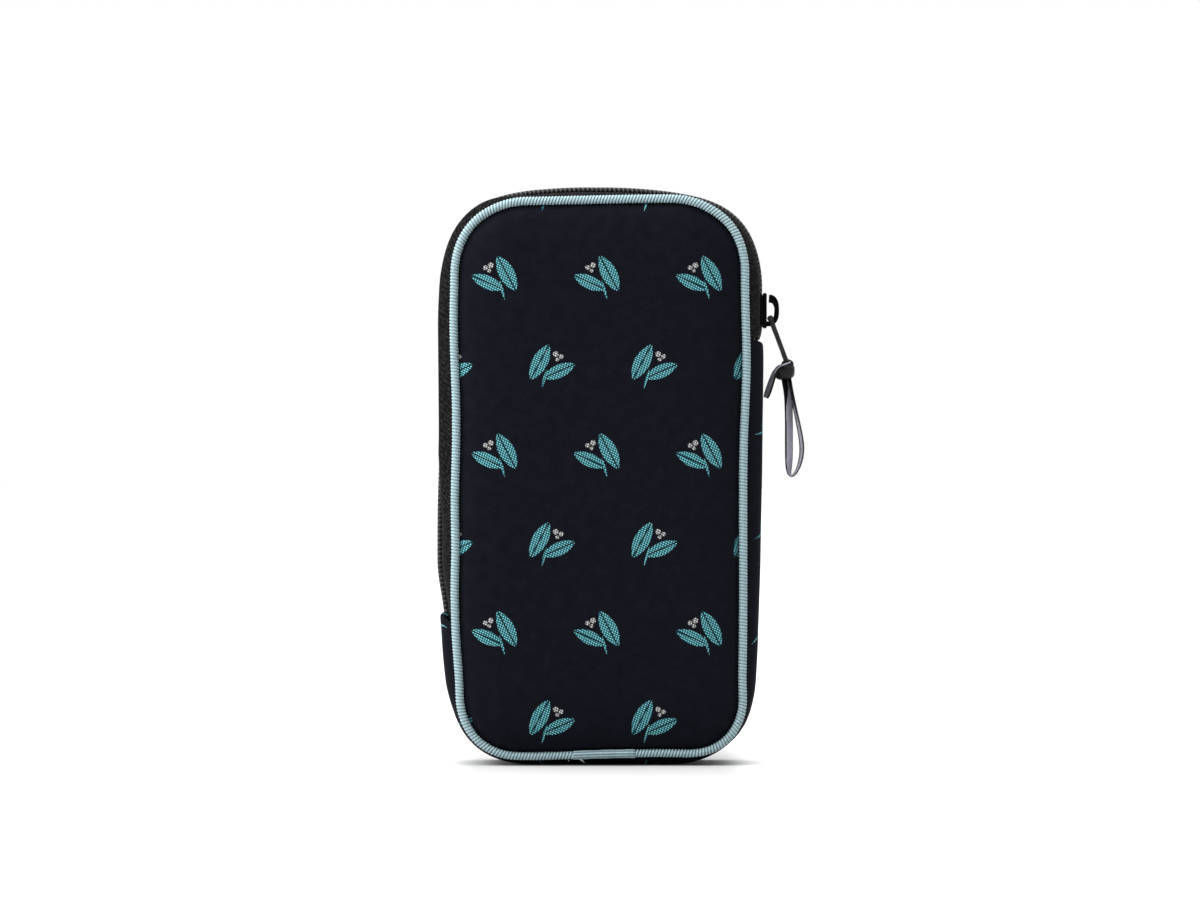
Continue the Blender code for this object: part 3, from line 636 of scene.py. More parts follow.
sprig_relief = value_of(
    sprig_tree,
    "MULTIPLY_ADD",
    sprig.outputs["Leaf"],
    LEAF_RELIEF_SHARE,
    sprig_weave.outputs["Height"],
)
sprig_tree.links.new(
    bump_from(sprig_tree, sprig_relief, CLOTH_RELIEF), sprig_shader.inputs["Normal"]
)
sprig_rough = value_of(
    sprig_tree,
    "MULTIPLY_ADD",
    sprig_weave.outputs["Thread"],
    CLOTH_ROUGHNESS_SPREAD,
    CLOTH_ROUGHNESS,
)
sprig_tree.links.new(sprig_rough, sprig_shader.inputs["Roughness"])
back_cover.data.materials.append(sprig_cloth)


# The back lining. A plain grey-blue cloth, laid flat over the panel's foam and caught in the seam.
# It is cut to the seam's outline, less what the seam takes all round.
LINING_INSET = 6.5 * MM
LINING_SUNK = 4.4 * MM
LINING_THICKNESS = 0.5 * MM
LINING_DARK = (0.045, 0.052, 0.066)
LINING_LIGHT = (0.085, 0.098, 0.122)
LINING_PITCH = 0.5 * MM
PLAIN_RELIEF = 0.08 * MM


def plain_cloth(name, dark, light, pitch):
    """A plain woven cloth in two close shades."""
    made, tree, shader = new_finish(name, specular=0.2, roughness=0.8)
    x, y, z = parts_of(tree, coordinates(tree, "Object"))
    laid = flat_vector(tree, value_of(tree, "ADD", x, y), z)
    weave = place_group(tree, weave_tree, Vector=laid, Pitch=pitch)
    tree.links.new(mixed(tree, weave.outputs["Thread"], dark, light), shader.inputs["Base Color"])
    tree.links.new(
        bump_from(tree, weave.outputs["Height"], PLAIN_RELIEF), shader.inputs["Normal"]
    )
    return made


lining_cloth = plain_cloth("lining cloth", LINING_DARK, LINING_LIGHT, LINING_PITCH)
back_lining_cloth = sewn_panel(
    "back_lining_cloth", 1, LINING_INSET, LINING_SUNK, LINING_THICKNESS, 0.0
)
back_lining_cloth.data.materials.append(lining_cloth)
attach(back_lining_cloth, "body")
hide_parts("back_lining")


# The piping. A cord wrapped on the bias in pale blue ribbed ribbon, 3 mm thick, with about one rib
# a millimetre. It runs all round each seam, and a folded tab of the same ribbon hides its ends.
PIPING_RADIUS = 1.6 * MM
CORD_RADIUS = 1.48 * MM
FOOT_THINNING = 0.06
RIB_PITCH = 1.06 * MM
RIB_DEPTH = 0.24 * MM
RIB_SLANT_ENDS = 0.36
RIB_SLANT_SIDES = 0.14
# The rib layer paints shade into the grooves between the ribs, in the darker colour below. The
# RIB_EVEN shares even that painted shade out where the piping faces sideways, and deepen it at its
# top and foot, as the light falls.
RIB_EVEN_ENDS = -0.1
RIB_EVEN_SIDES = 0.45
RIB_EVEN_SHADE = 0.54
RINGS_PER_RIB = 4
RING_SIDES = 16
RIB_LIGHT = (0.49, 0.68, 0.73)
RIB_GROOVE_SHADE = (0.045, 0.09, 0.105)
RIB_PROFILE_SHARES = (0.0, 0.55, 1.0, 0.55)
FIBRE_SCALE = 1400.0
FIBRE_SHADE = 0.5
FIBRE_RELIEF = 0.03 * MM


def lengths_along(points):
    """How far along a closed outline each of its points lies, and the first again at the end."""
    found = [0.0]
    for first, second in zip(points, [*points[1:], points[0]]):
        found.append(found[-1] + (second - first).length)
    return found


def walk_round(points, normals):
    """The place and normal at a distance along a closed outline, as a function, and its length."""
    reach = lengths_along(points)
    ring = [*points, points[0]]
    turned = [*normals, normals[0]]
    xs, zs = [p.x for p in ring], [p.z for p in ring]
    nx, nz = [n.x for n in turned], [n.z for n in turned]

    def at_distance(distance):
        s = distance % reach[-1]
        place = Vector((float(np.interp(s, reach, xs)), 0, float(np.interp(s, reach, zs))))
        normal = Vector((float(np.interp(s, reach, nx)), 0, float(np.interp(s, reach, nz))))
        return place, normal.normalized()

    return at_distance, reach[-1]


def ribbed_ribbon(name):
    """Ribbed ribbon, pale on the ribs with painted shade between them, by the mesh's own rib layer.
    """
    made, tree, shader = new_finish(name, specular=0.3, roughness=0.6)
    rib = tree.nodes.new("ShaderNodeAttribute")
    rib.attribute_name = "rib"
    fibres = noise_over(tree, coordinates(tree, "Object"), FIBRE_SCALE, detail=3.0)
    ribs = value_of(tree, "SUBTRACT", rib.outputs["Fac"], FIBRE_SHADE / 2)
    share = clamped(tree, fibres, FIBRE_SHADE, ribs)
    tree.links.new(mixed(tree, share, RIB_GROOVE_SHADE, RIB_LIGHT), shader.inputs["Base Color"])
    tree.links.new(bump_from(tree, fibres, FIBRE_RELIEF), shader.inputs["Normal"])
    shader.inputs["Sheen Weight"].default_value = 0.1
    return made


def set_layer(piece, name, values):
    """Stores one number for each point of a piece, for its material to read."""
    layer = piece.data.attributes.new(name, "FLOAT", "POINT")
    layer.data.foreach_set("value", values)


def wrapped_piping(name, side):
    """The ribbed cord along one seam, its rings slanted as the ribbon is."""
    points, normals = seam_outline(PIPING_RADIUS)
    at_distance, total = walk_round(points, normals)
    rib_count = round(total / RIB_PITCH)
    ring_count = rib_count * RINGS_PER_RIB
    rows, ribs = [], []
    for k in range(ring_count):
        share = RIB_PROFILE_SHARES[k % RINGS_PER_RIB]
        _, facing = at_distance(total * k / ring_count)
        slant = RIB_SLANT_SIDES + (RIB_SLANT_ENDS - RIB_SLANT_SIDES) * facing.z**2
        even = RIB_EVEN_SIDES + (RIB_EVEN_ENDS - RIB_EVEN_SIDES) * facing.z**2
        pressed = FOOT_THINNING * max(0.0, -facing.z) ** 3
        radius = CORD_RADIUS * (1 - pressed) - RIB_DEPTH * (1 - share)
        row = []
        for j in range(RING_SIDES):
            angle = 2 * math.pi * j / RING_SIDES
            outward = radius * math.cos(angle)
            place, normal = at_distance(total * k / ring_count - slant * outward)
            y = side * (SEAM_HALF_DEPTH + radius * math.sin(angle))
            row.append(Vector((0, y, 0)) + place + outward * normal)
            # Painted shade in the grooves, evened out where the piping faces sideways.
            ribs.append(share + even * (RIB_EVEN_SHADE - share))
        rows.append(row)
    made = laid_cloth(name, rows, joins_round=True, joins_across=True)
    set_layer(made, "rib", ribs)
    if side > 0:
        made.data.flip_normals()
    made.data.shade_smooth()
    made.data.materials.append(piping_ribbon)
    return made


piping_ribbon = ribbed_ribbon("ribbed piping ribbon")
back_ribbed_piping = wrapped_piping("back_ribbed_piping", 1)
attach(back_ribbed_piping, "body")
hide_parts("back_piping")

TAB_LEFT = -9.0 * MM
TAB_RIGHT = 11.7 * MM
TAB_RADIUS = 1.42 * MM
TAB_RIB_HEIGHT = 0.14 * MM
TAB_BOW = 0.15 * MM
TAB_RIBS = 5
TAB_STEPS = 40
TAB_ROWS = 24
TAB_START = math.radians(-28)
TAB_END = math.radians(162)
TAB_WALL = 0.35 * MM
TAB_RIB_POWER = 0.6
TAB_SHADE_POWER = 1.2
TAB_SHADE = 0.82
TAB_UNEVEN = 0.1 * MM
TAB_UNEVEN_SIZE = (4.0 * MM, 9.0)
FOOT_BELOW = 20.0 * MM


def piping_tab(name, side):
    """The folded tab over the piping's ends, ribbed lengthwise, below the middle of the foot."""
    rows, ribs = [], []
    foot = sorted((p.x, p.z) for p in seam_outline(PIPING_RADIUS)[0] if p.z < FOOT_BELOW)
    uneven_length, uneven_steps = TAB_UNEVEN_SIZE
    for i in range(TAB_ROWS + 1):
        share = i / TAB_ROWS
        x = TAB_LEFT + (TAB_RIGHT - TAB_LEFT) * share
        centre = float(np.interp(x, *zip(*foot))) + TAB_BOW * math.sin(math.pi * share)
        row = []
        for j in range(TAB_STEPS + 1):
            angle = TAB_START + (TAB_END - TAB_START) * j / TAB_STEPS
            crest = abs(math.sin(math.pi * TAB_RIBS * j / TAB_STEPS))
            uneven = noise.noise(Vector((x / uneven_length, j / uneven_steps, side)))
            radius = TAB_RADIUS + TAB_RIB_HEIGHT * crest**TAB_RIB_POWER + TAB_UNEVEN * uneven
            y = side * (SEAM_HALF_DEPTH + radius * math.sin(angle))
            row.append(Vector((x, y, centre - radius * math.cos(angle))))
            # Painted shade: the rib layer is light on the tab's crests and dark in the troughs
            # between them.
            ribs.append(TAB_SHADE * crest**TAB_SHADE_POWER)
        rows.append(row)
    made = laid_cloth(name, rows)
    set_layer(made, "rib", ribs)
    middle = min(made.data.polygons, key=lambda f: f.center.z)
    if middle.normal.z > 0:
        made.data.flip_normals()
    give_thickness(made, TAB_WALL)
    made.data.materials.append(piping_ribbon)
    return made


back_piping_tab = piping_tab("back_piping_tab", 1)
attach(back_piping_tab, "body")
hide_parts("back_piping_join")


# The seam binding. A black woven tape folded over the raw edges of the seam, inside the pouch. It
# runs all round as a flat roll with round edges.
BAND_HALF_DEPTH = 14.7 * MM
BAND_TUCK = 1.4 * MM
BINDING_INSET = 2.7 * MM
BINDING_WIDTH = 3.4 * MM
BINDING_THICKNESS = 1.8 * MM
BINDING_SIDES = 10
BINDING_ROUND_SHARE = 0.35
BINDING_REACH = 0.01 * MM
BINDING_PITCH = 0.6 * MM
TAPE_DARK = (0.0008, 0.0009, 0.001)
TAPE_LIGHT = (0.02, 0.02, 0.0205)


def squared_off(angle, power):
    """The cosine and sine of an angle, drawn out from a round towards a square."""
    return [math.copysign(abs(c) ** power, c) for c in (math.cos(angle), math.sin(angle))]


def bound_edge(name, side):
    """The tape round a seam's raw edges: a flat rounded roll along the seam."""
    outline, normals = seam_outline(BINDING_INSET + BINDING_WIDTH / 2)
    middle_y = side * (BAND_HALF_DEPTH - BINDING_THICKNESS / 2)
    rows = []
    for p, normal in zip(outline, normals):
        row = []
        for j in range(BINDING_SIDES):
            angle = 2 * math.pi * (j + 0.5) / BINDING_SIDES
            across, deep = squared_off(angle, BINDING_ROUND_SHARE)
            point = p + normal * across * BINDING_WIDTH / 2
            row.append(Vector((point.x, middle_y + deep * BINDING_THICKNESS / 2, point.z)))
        rows.append(row)
    made = laid_cloth(name, rows, joins_round=True, joins_across=True)
    merge_points(made, BINDING_REACH)
    made.data.shade_smooth()
    made.data.materials.append(binding_tape)
    return made


binding_tape = plain_cloth("binding tape", TAPE_DARK, TAPE_LIGHT, BINDING_PITCH)
back_seam_binding = bound_edge("back_seam_binding", 1)
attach(back_seam_binding, "body")
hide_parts("back_binding")


# The gusset. A padded band of the same cloth round the lower part, from the left end of the zip
# under the foot and up to its right end. It bulges past the piping, and its two ends are turned in
# and thick. Its lining is a plain strip inside it.
BODY_HALF_WIDTH = 54.4 * MM
BODY_TAPER = 1.4 * MM
BODY_HIGH = 193.3 * MM
BODY_TOP_RADIUS = 33.0 * MM
BODY_BOTTOM_RADIUS = 28.5 * MM
BAND_FLAT_HALF_DEPTH = 8.0 * MM
ZIP_LEFT_END = 50.4 * MM
ZIP_RIGHT_END = 141.0 * MM
GUSSET_THICKNESS = 3.1 * MM
GUSSET_EDGE_THICKNESS = 0.8 * MM
GUSSET_ROW = 1.6 * MM
GUSSET_END_STEPS = 7
GUSSET_LEVELS = 22
GUSSET_LEVEL_SPREAD = 0.98
END_ROUND = 1.3 * MM
END_ROUND_POWER = 0.6
END_OUTER_SHARE = 0.6
END_INNER_SHARE = 1.4
GUSSET_PRINT_SHIFT = 6.0 * MM
GUSSET_FULLNESS = 3.2

SEAM_POINTS, SEAM_NORMALS = seam_outline(0.0)
BODY_POINTS, _ = rounded_outline(
    BODY_HALF_WIDTH, BODY_TAPER, 0.0, BODY_HIGH, BODY_TOP_RADIUS, BODY_BOTTOM_RADIUS, SKIN_MOVES
)
POINT_COUNT = len(BODY_POINTS)
BODY_REACH = lengths_along(BODY_POINTS)
BODY_LENGTH = BODY_REACH[-1]


def along_outline(points, distance):
    """The point, or normal, at a distance along the band, measured on its outer skin."""
    wrapped = distance % BODY_LENGTH
    place = float(np.interp(wrapped, BODY_REACH, range(POINT_COUNT + 1)))
    low = math.floor(place)
    return points[low % POINT_COUNT].lerp(points[(low + 1) % POINT_COUNT], place - low)


def distance_at(height, right):
    """How far along the band its skin is at that height, on one side."""
    for k in range(POINT_COUNT):
        first, second = BODY_POINTS[k], BODY_POINTS[(k + 1) % POINT_COUNT]
        level = min(first.z, second.z) <= height <= max(first.z, second.z)
        if level and first.z != second.z and (first.x > 0) == right:
            share = (height - first.z) / (second.z - first.z)
            return BODY_REACH[k] + share * (BODY_REACH[k + 1] - BODY_REACH[k])
    return 0.0


def band_point(distance, y, sink=0.0, inset=0.0, fullness=2.0):
    """A point of the side band, sunk under its skin or set in square to it."""
    shoulder = BAND_HALF_DEPTH - BAND_FLAT_HALF_DEPTH
    past = max(0.0, abs(y) - BAND_FLAT_HALF_DEPTH)
    share = max(0.0, 1 - (past / shoulder) ** fullness)
    normal = along_outline(SEAM_NORMALS, distance).normalized()
    seam = along_outline(SEAM_POINTS, distance) - BAND_TUCK * normal
    body = along_outline(BODY_POINTS, distance)
    slope = fullness * past ** (fullness - 1) / shoulder**fullness * (body - seam).length
    square = (normal + Vector((0, math.copysign(slope, y), 0))).normalized()
    skin = seam.lerp(body, share) - sink * share * normal
    return Vector((skin.x, y, skin.z)) - inset * square


LEFT_END = distance_at(ZIP_LEFT_END, right=False)
RIGHT_END = distance_at(ZIP_RIGHT_END, right=True)


def steps_between(start, end, step):
    """Evenly spaced distances from start to end, both included."""
    count = max(2, round((end - start) / step))
    return [start + (end - start) * k / count for k in range(count + 1)]


def gusset_thickness(y):
    """The padding's thickness, full over the middle and thin where it is sewn in."""
    share = max(0.0, (abs(y) - BAND_FLAT_HALF_DEPTH) / (BAND_HALF_DEPTH - BAND_FLAT_HALF_DEPTH))
    return GUSSET_THICKNESS + (GUSSET_EDGE_THICKNESS - GUSSET_THICKNESS) * share


def gusset_rows():
    """(distance, share of the thickness taken off each face) for each row, round at both ends."""
    start, end = LEFT_END - BODY_LENGTH, RIGHT_END
    tip = []
    for k in range(GUSSET_END_STEPS):
        angle = math.pi / 2 * k / GUSSET_END_STEPS
        taken = (1 - math.sin(angle) ** END_ROUND_POWER) / 2
        tip.append((END_ROUND * (1 - math.cos(angle)), taken))
    middle = [(s, 0.0) for s in steps_between(start + END_ROUND, end - END_ROUND, GUSSET_ROW)]
    return [(start + d, t) for d, t in tip] + middle + [(end - d, t) for d, t in reversed(tip)]


gusset_spread = math.pi / 2 * GUSSET_LEVEL_SPREAD
gusset_levels = [
    BAND_HALF_DEPTH
    * math.sin(gusset_spread * (2 * k / GUSSET_LEVELS - 1))
    / math.sin(gusset_spread)
    for k in range(GUSSET_LEVELS + 1)
]
gusset_points, gusset_flat = [], []
for row_distance, taken in gusset_rows():
    outer, inner, flat_row = [], [], []
    for y in gusset_levels:
        thickness = gusset_thickness(y)
        swell = CLOTH_UNEVEN * noise.noise(Vector((row_distance, y, 1)) / CLOTH_UNEVEN_SIZE)
        for face, inset in (
            (outer, END_OUTER_SHARE * taken * thickness - min(0.0, swell)),
            (inner, thickness * (1 - END_INNER_SHARE * taken)),
        ):
            face.append(band_point(row_distance, y, inset=inset, fullness=GUSSET_FULLNESS))
        flat_row.append((row_distance, y + SPRIG_ROW / 2 + GUSSET_PRINT_SHIFT))
    gusset_points.append(outer + inner[::-1])
    gusset_flat.append(flat_row + flat_row[::-1])
gusset_cover = laid_cloth(
    "gusset_cover",
    gusset_points,
    joins_across=True,
    flat_place=lambda i, j: gusset_flat[i][j % len(gusset_flat[0])],
)
merge_points(gusset_cover, SEWN_REACH)
gusset_cover.data.shade_smooth()
gusset_cover.data.materials.append(sprig_cloth)
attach(gusset_cover, "body")
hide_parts("gusset_band", "gusset_foam")

GUSSET_LINING_INSET = 3.6 * MM
GUSSET_LINING_HALF_DEPTH = 11.3 * MM
GUSSET_LINING_LEVELS = 10
GUSSET_LINING_STEP = 3.0 * MM
lining_levels = [
    GUSSET_LINING_HALF_DEPTH * (2 * k / GUSSET_LINING_LEVELS - 1)
    for k in range(GUSSET_LINING_LEVELS + 1)
]
lining_rows = [
    [band_point(s, y, inset=GUSSET_LINING_INSET) for y in lining_levels]
    for s in steps_between(
        LEFT_END - BODY_LENGTH + END_ROUND, RIGHT_END - END_ROUND, GUSSET_LINING_STEP
    )
]
gusset_lining_cloth = laid_cloth("gusset_lining_cloth", lining_rows)
give_thickness(gusset_lining_cloth, LINING_THICKNESS)
gusset_lining_cloth.data.materials.append(lining_cloth)
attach(gusset_lining_cloth, "body")
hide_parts("gusset_lining")


front_cover = sewn_panel("front_cover", -1, PANEL_INSET, 0.0, PAD_THICKNESS, CLOTH_UNEVEN)
front_cover.data.materials.append(sprig_cloth)
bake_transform(front_cover)
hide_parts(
    "front_panel_flap", "front_panel_lower", "front_foam_flap", "front_foam_lower"
)

front_lining_cloth = sewn_panel(
    "front_lining_cloth", -1, LINING_INSET, LINING_SUNK, LINING_THICKNESS, 0.0
)
front_lining_cloth.data.materials.append(lining_cloth)
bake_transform(front_lining_cloth)
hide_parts("front_lining_flap", "front_lining_lower")

front_ribbed_piping = wrapped_piping("front_ribbed_piping", -1)
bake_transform(front_ribbed_piping)
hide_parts("front_piping_flap", "front_piping_lower")

front_piping_tab = piping_tab("front_piping_tab", -1)
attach(front_piping_tab, "body")
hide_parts("front_piping_join")

STRAND_RADIUS = 0.1 * MM
STRAND_SIDES = 6
STRAND_LEVEL = -17.75 * MM
STRAND_DARK = (0.3, 0.38, 0.4)
STRAND_LIGHT = (0.5, 0.6, 0.62)
STRAND_PITCH = 0.3 * MM
LOOSE_THREADS = (
    ((-6.9, 2.3), (-6.4, 1.95), (-5.8, 1.6), (-5.1, 1.0)),
    ((-6.7, 2.3), (-6.1, 2.05), (-5.5, 1.5)),
    ((-10.6, 2.1), (-10.35, 1.75), (-10.4, 1.5)),
)
POINT_REACH = 0.001 * MM


def closed_loft(rows):
    """(points, faces) of rows of points joined into a solid, with a cap at each end."""
    width = len(rows[0])
    points = [p for row in rows for p in row]
    faces = []
    for i in range(len(rows) - 1):
        for j in range(width):
            k = (j + 1) % width
            faces.append((i * width + j, i * width + k, (i + 1) * width + k, (i + 1) * width + j))
    faces.append(tuple(range(width))[::-1])
    faces.append(tuple((len(rows) - 1) * width + j for j in range(width)))
    return points, faces


def swept_bar(path, radii, sides, flatten=1.0):
    """(points, faces) of a closed round bar along a path, with a radius at each point."""
    rows = []
    for k, p in enumerate(path):
        ahead = path[min(k + 1, len(path) - 1)] - path[max(k - 1, 0)]
        ahead.normalize()
        up = Vector((1, 0, 0)) if abs(ahead.x) < 0.9 else Vector((0, 0, 1))
        first = ahead.cross(up).normalized()
        second = flatten * ahead.cross(first)
        row = []
        for j in range(sides):
            angle = 2 * math.pi * j / sides
            row.append(p + radii[k] * (math.cos(angle) * first + math.sin(angle) * second))
        rows.append(row)
    return closed_loft(rows)


def gathered(solids):
    """Several (points, faces) as one."""
    points, faces = [], []
    for more_points, more_faces in solids:
        faces += [tuple(i + len(points) for i in face) for face in more_faces]
        points += more_points
    return points, faces


def mesh_piece(name, points, faces, finish=None, slot=None):
    """A smooth piece from points and faces, with its faces turned outwards."""
    made = piece_of(name, points, faces)
    merge_points(made, POINT_REACH)
    made.data.shade_smooth()
    if finish:
        made.data.materials.append(finish)
    return made


strands = []
for path in LOOSE_THREADS:
    strand = [Vector((x * MM, STRAND_LEVEL, z * MM)) for x, z in path]
    strands.append(swept_bar(strand, [STRAND_RADIUS] * len(strand), STRAND_SIDES))
strand_finish = plain_cloth("pale thread", STRAND_DARK, STRAND_LIGHT, STRAND_PITCH)
loose_threads = mesh_piece("loose_threads", *gathered(strands), strand_finish, "piping")
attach(loose_threads, "body")

front_seam_binding = bound_edge("front_seam_binding", -1)
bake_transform(front_seam_binding)
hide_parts("front_binding_flap", "front_binding_lower")


# The zip. Two woven tapes, each with a coil of black nylon sewn to it by rows of grey stitches. The
# coils' heads interlock above the slider. Each end of the zip dives under the gusset's turned end.
TAPE_THICKNESS = 0.8 * MM
TAPE_SUNK = 1.9 * MM
TAPE_STEP = 1.5 * MM
TAPE_EDGE = 0.5 * MM
TAPE_LEVELS = 20
LEFT_TAPE_BULGES = ((80, 0.0), (104, 2.1))
RIGHT_TAPE_BULGES = ((158, 1.1), (172, 0.7))
TAPE_BULGE_TURN = 0.6
TAPE_BULGE_START = 4.6 * MM
TAPE_BULGE_POWER = 0.75
TAPE_TUCK = 1.6 * MM
END_DIVE = 1.25 * MM
LEFT_DIVE_LENGTH = 17.0 * MM
RIGHT_DIVE_LENGTH = 4.5 * MM
TAPE_RIB_PITCH = 1.1 * MM
TAPE_FALL_SHARE = 0.6
TAPE_KNIT_SHARE = 0.22
TAPE_FLECK_SCALE = 1000.0
TAPE_FLECK_SHARE = 2.4
TAPE_FLECK_LEVEL = -0.72
TAPE_CONTRAST = 2.0
TAPE_RELIEF = 0.08 * MM
TAPE_SEAM_SHADE_WIDTH = 0.8 * MM


def eased(share):
    """A share from 0 to 1 that starts and ends gently."""
    return share * share * (3 - 2 * share)


def dive(distance):
    """How far the zip sinks near its two ends, so that it goes in under the gusset."""
    right = 1 - (distance - RIGHT_END) / RIGHT_DIVE_LENGTH
    left = 1 - (LEFT_END - distance) / LEFT_DIVE_LENGTH
    return END_DIVE * eased(min(max(right, left, 0.0), 1.0))


def zip_tape(name, side):
    """One tape, from its edge under the coil to the seam.

    It bulges at the sides of the pouch. The bulges are given as (height, how far out) in mm.
    """
    flat, rows = [], []
    for s in steps_between(RIGHT_END - TAPE_TUCK, LEFT_END + TAPE_TUCK, TAPE_STEP):
        row, flat_row = [], []
        facing = along_outline(SEAM_NORMALS, s).normalized()
        bulges = RIGHT_TAPE_BULGES if facing.x > 0 else LEFT_TAPE_BULGES
        height = along_outline(BODY_POINTS, s).z / MM
        turned = min(1.0, abs(facing.x) / TAPE_BULGE_TURN)
        fullness = float(np.interp(height, *zip(*bulges))) * MM * (1 - dive(s) / END_DIVE)
        fullness *= eased(turned)
        for k in range(TAPE_LEVELS + 1):
            y = TAPE_EDGE + (BAND_HALF_DEPTH - TAPE_EDGE) * k / TAPE_LEVELS
            over = max(0.0, (y - TAPE_BULGE_START) / (BAND_HALF_DEPTH - TAPE_BULGE_START))
            bulge = fullness * math.sin(math.pi * over**TAPE_BULGE_POWER) ** 2
            row.append(band_point(s, side * y, sink=TAPE_SUNK + dive(s) - bulge))
            flat_row.append((s, y))
        rows.append(row)
        flat.append(flat_row)
    made = laid_cloth(name, rows, flat_place=lambda i, j: flat[i][j])
    middle = made.data.polygons[len(made.data.polygons) // 2]
    if middle.normal.z < 0:
        made.data.flip_normals()
    give_thickness(made, TAPE_THICKNESS)
    made.data.materials.append(tape_cloth)
    return made


tape_cloth, tape_tree, tape_shader = new_finish(
    "zip tape cloth", specular=0.06, roughness=0.75
)
tape_u, tape_v, _ = parts_of(tape_tree, coordinates(tape_tree, "UV"))
tape_turn = 2 * math.pi / TAPE_RIB_PITCH
tape_ribs = []
for way, turn in (("ADD", tape_turn), ("SUBTRACT", TAPE_FALL_SHARE * tape_turn)):
    slanted = value_of(tape_tree, way, tape_u, tape_v)
    tape_ribs.append(value_of(tape_tree, "SINE", value_of(tape_tree, "MULTIPLY", slanted, turn)))
tape_knit = value_of(tape_tree, "ADD", *tape_ribs)
tape_grain = noise_over(tape_tree, coordinates(tape_tree, "Object"), TAPE_FLECK_SCALE)
tape_flecks = value_of(
    tape_tree, "MULTIPLY_ADD", tape_grain, TAPE_FLECK_SHARE, TAPE_FLECK_LEVEL
)
tape_share = clamped(tape_tree, tape_knit, TAPE_KNIT_SHARE, tape_flecks)
# Painted shade: near the seam the tape's colour goes to its darkest, where the tape runs down into
# the shaded valley beside the piping.
off_seam = value_of(tape_tree, "SUBTRACT", BAND_HALF_DEPTH - TAPE_SEAM_SHADE_WIDTH, tape_v)
tape_share = value_of(
    tape_tree,
    "MULTIPLY",
    value_of(tape_tree, "POWER", tape_share, TAPE_CONTRAST),
    soft_step(tape_tree, off_seam, TAPE_SEAM_SHADE_WIDTH / 2),
)
tape_tree.links.new(
    mixed(tape_tree, tape_share, TAPE_DARK, TAPE_LIGHT), tape_shader.inputs["Base Color"]
)
tape_tree.links.new(bump_from(tape_tree, tape_share, TAPE_RELIEF), tape_shader.inputs["Normal"])

back_zip_tape = zip_tape("back_zip_tape", 1)
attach(back_zip_tape, "body")
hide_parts("zip_tape_back")
front_zip_tape = zip_tape("front_zip_tape", -1)
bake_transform(front_zip_tape)
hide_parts("zip_tape_front", "zip_tape_front_end")

TOOTH_PITCH = 1.5 * MM
TOOTH_SIDES = 8
TOOTH_RADIUS = 0.36 * MM
TOOTH_PATH = (
    (3.15, -1.5),
    (3.2, -0.75),
    (2.75, -0.34),
    (1.2, -0.32),
    (0.15, -0.36),
    (-0.25, -0.55),
    (-0.15, -0.95),
)
TOOTH_RADIUS_SHARES = (0.85, 1.0, 1.05, 1.0, 1.3, 1.35, 0.9)
CHAIN_TILT = 0.22 * MM
COIL_TUCK = 1.2 * MM
OPEN_LENGTH = 8.0 * MM
OPEN_GAP = 1.0 * MM
COIL_DARK = (0.004, 0.004, 0.004)
COIL_LIGHT = (0.016, 0.016, 0.017)
COIL_DUST_SCALE = 900.0
COIL_ROUGHNESS = 0.3
COIL_ROUGHNESS_SPREAD = 0.2
STITCH_PATH = ((-0.32, 3.2, -1.4), (-0.22, 2.7, -0.45), (0.0, 1.9, -0.2), (0.22, 1.1, -0.45))
STITCH_RADIUS = 0.19 * MM
STITCH_SIDES = 6
STITCH_DARK = (0.06, 0.06, 0.062)
STITCH_LIGHT = (0.21, 0.21, 0.215)
STITCH_PITCH = 0.3 * MM
CORE_LEVEL = 1.75
CORE_HEIGHT = -1.1
CORE_RADIUS = 0.62 * MM
CORE_FLATTEN = 1.9


def parted(distance):
    """How far a coil draws back from the zip's middle, near its ends, where the zip is open."""
    from_ends = (distance - RIGHT_END, LEFT_END - distance)
    return sum(OPEN_GAP * min(max(1 - d / OPEN_LENGTH, 0.0), 1.0) for d in from_ends)


def chain_point(side, distance, along, y, z):
    """A point of a coil or its stitches, in mm from one place on the zip's middle line.

    The back coil lies a little lower than the front one.
    """
    sink = dive(distance) - z * MM + (CHAIN_TILT if side > 0 else 0.0)
    return band_point(distance + along * MM, side * (y * MM + parted(distance)), sink=sink)


def zip_coil(name, side):
    """One coil: a bent nylon loop for each tooth, laid across the edge of its tape."""
    teeth = []
    radii = [TOOTH_RADIUS * share for share in TOOTH_RADIUS_SHARES]
    start = RIGHT_END + TOOTH_PITCH * (0.5 if side > 0 else 1.0)
    for k in range(1 + int((LEFT_END + COIL_TUCK - start) / TOOTH_PITCH)):
        s = start + k * TOOTH_PITCH
        path = [chain_point(side, s, 0.0, y, z) for y, z in TOOTH_PATH]
        teeth.append(swept_bar(path, radii, TOOTH_SIDES))
    return mesh_piece(name, *gathered(teeth), coil_nylon, "coil")


def zip_stitches(name, side):
    """The core cord inside a coil, and the slanting stitches between its teeth that sew it on."""
    threads = []
    start = RIGHT_END + TOOTH_PITCH * (1.0 if side > 0 else 1.5)
    for k in range(int((LEFT_END - RIGHT_END) / TOOTH_PITCH) - 2):
        s = start + k * TOOTH_PITCH
        path = [chain_point(side, s, along, y, z) for along, y, z in STITCH_PATH]
        threads.append(swept_bar(path, [STITCH_RADIUS] * len(path), STITCH_SIDES))
    path = [
        chain_point(side, s, 0.0, CORE_LEVEL, CORE_HEIGHT)
        for s in steps_between(RIGHT_END + TOOTH_PITCH, LEFT_END + COIL_TUCK, TOOTH_PITCH)
    ]
    threads.append(swept_bar(path, [CORE_RADIUS] * len(path), TOOTH_SIDES, CORE_FLATTEN))
    return mesh_piece(name, *gathered(threads), stitch_thread, "zip_tape")


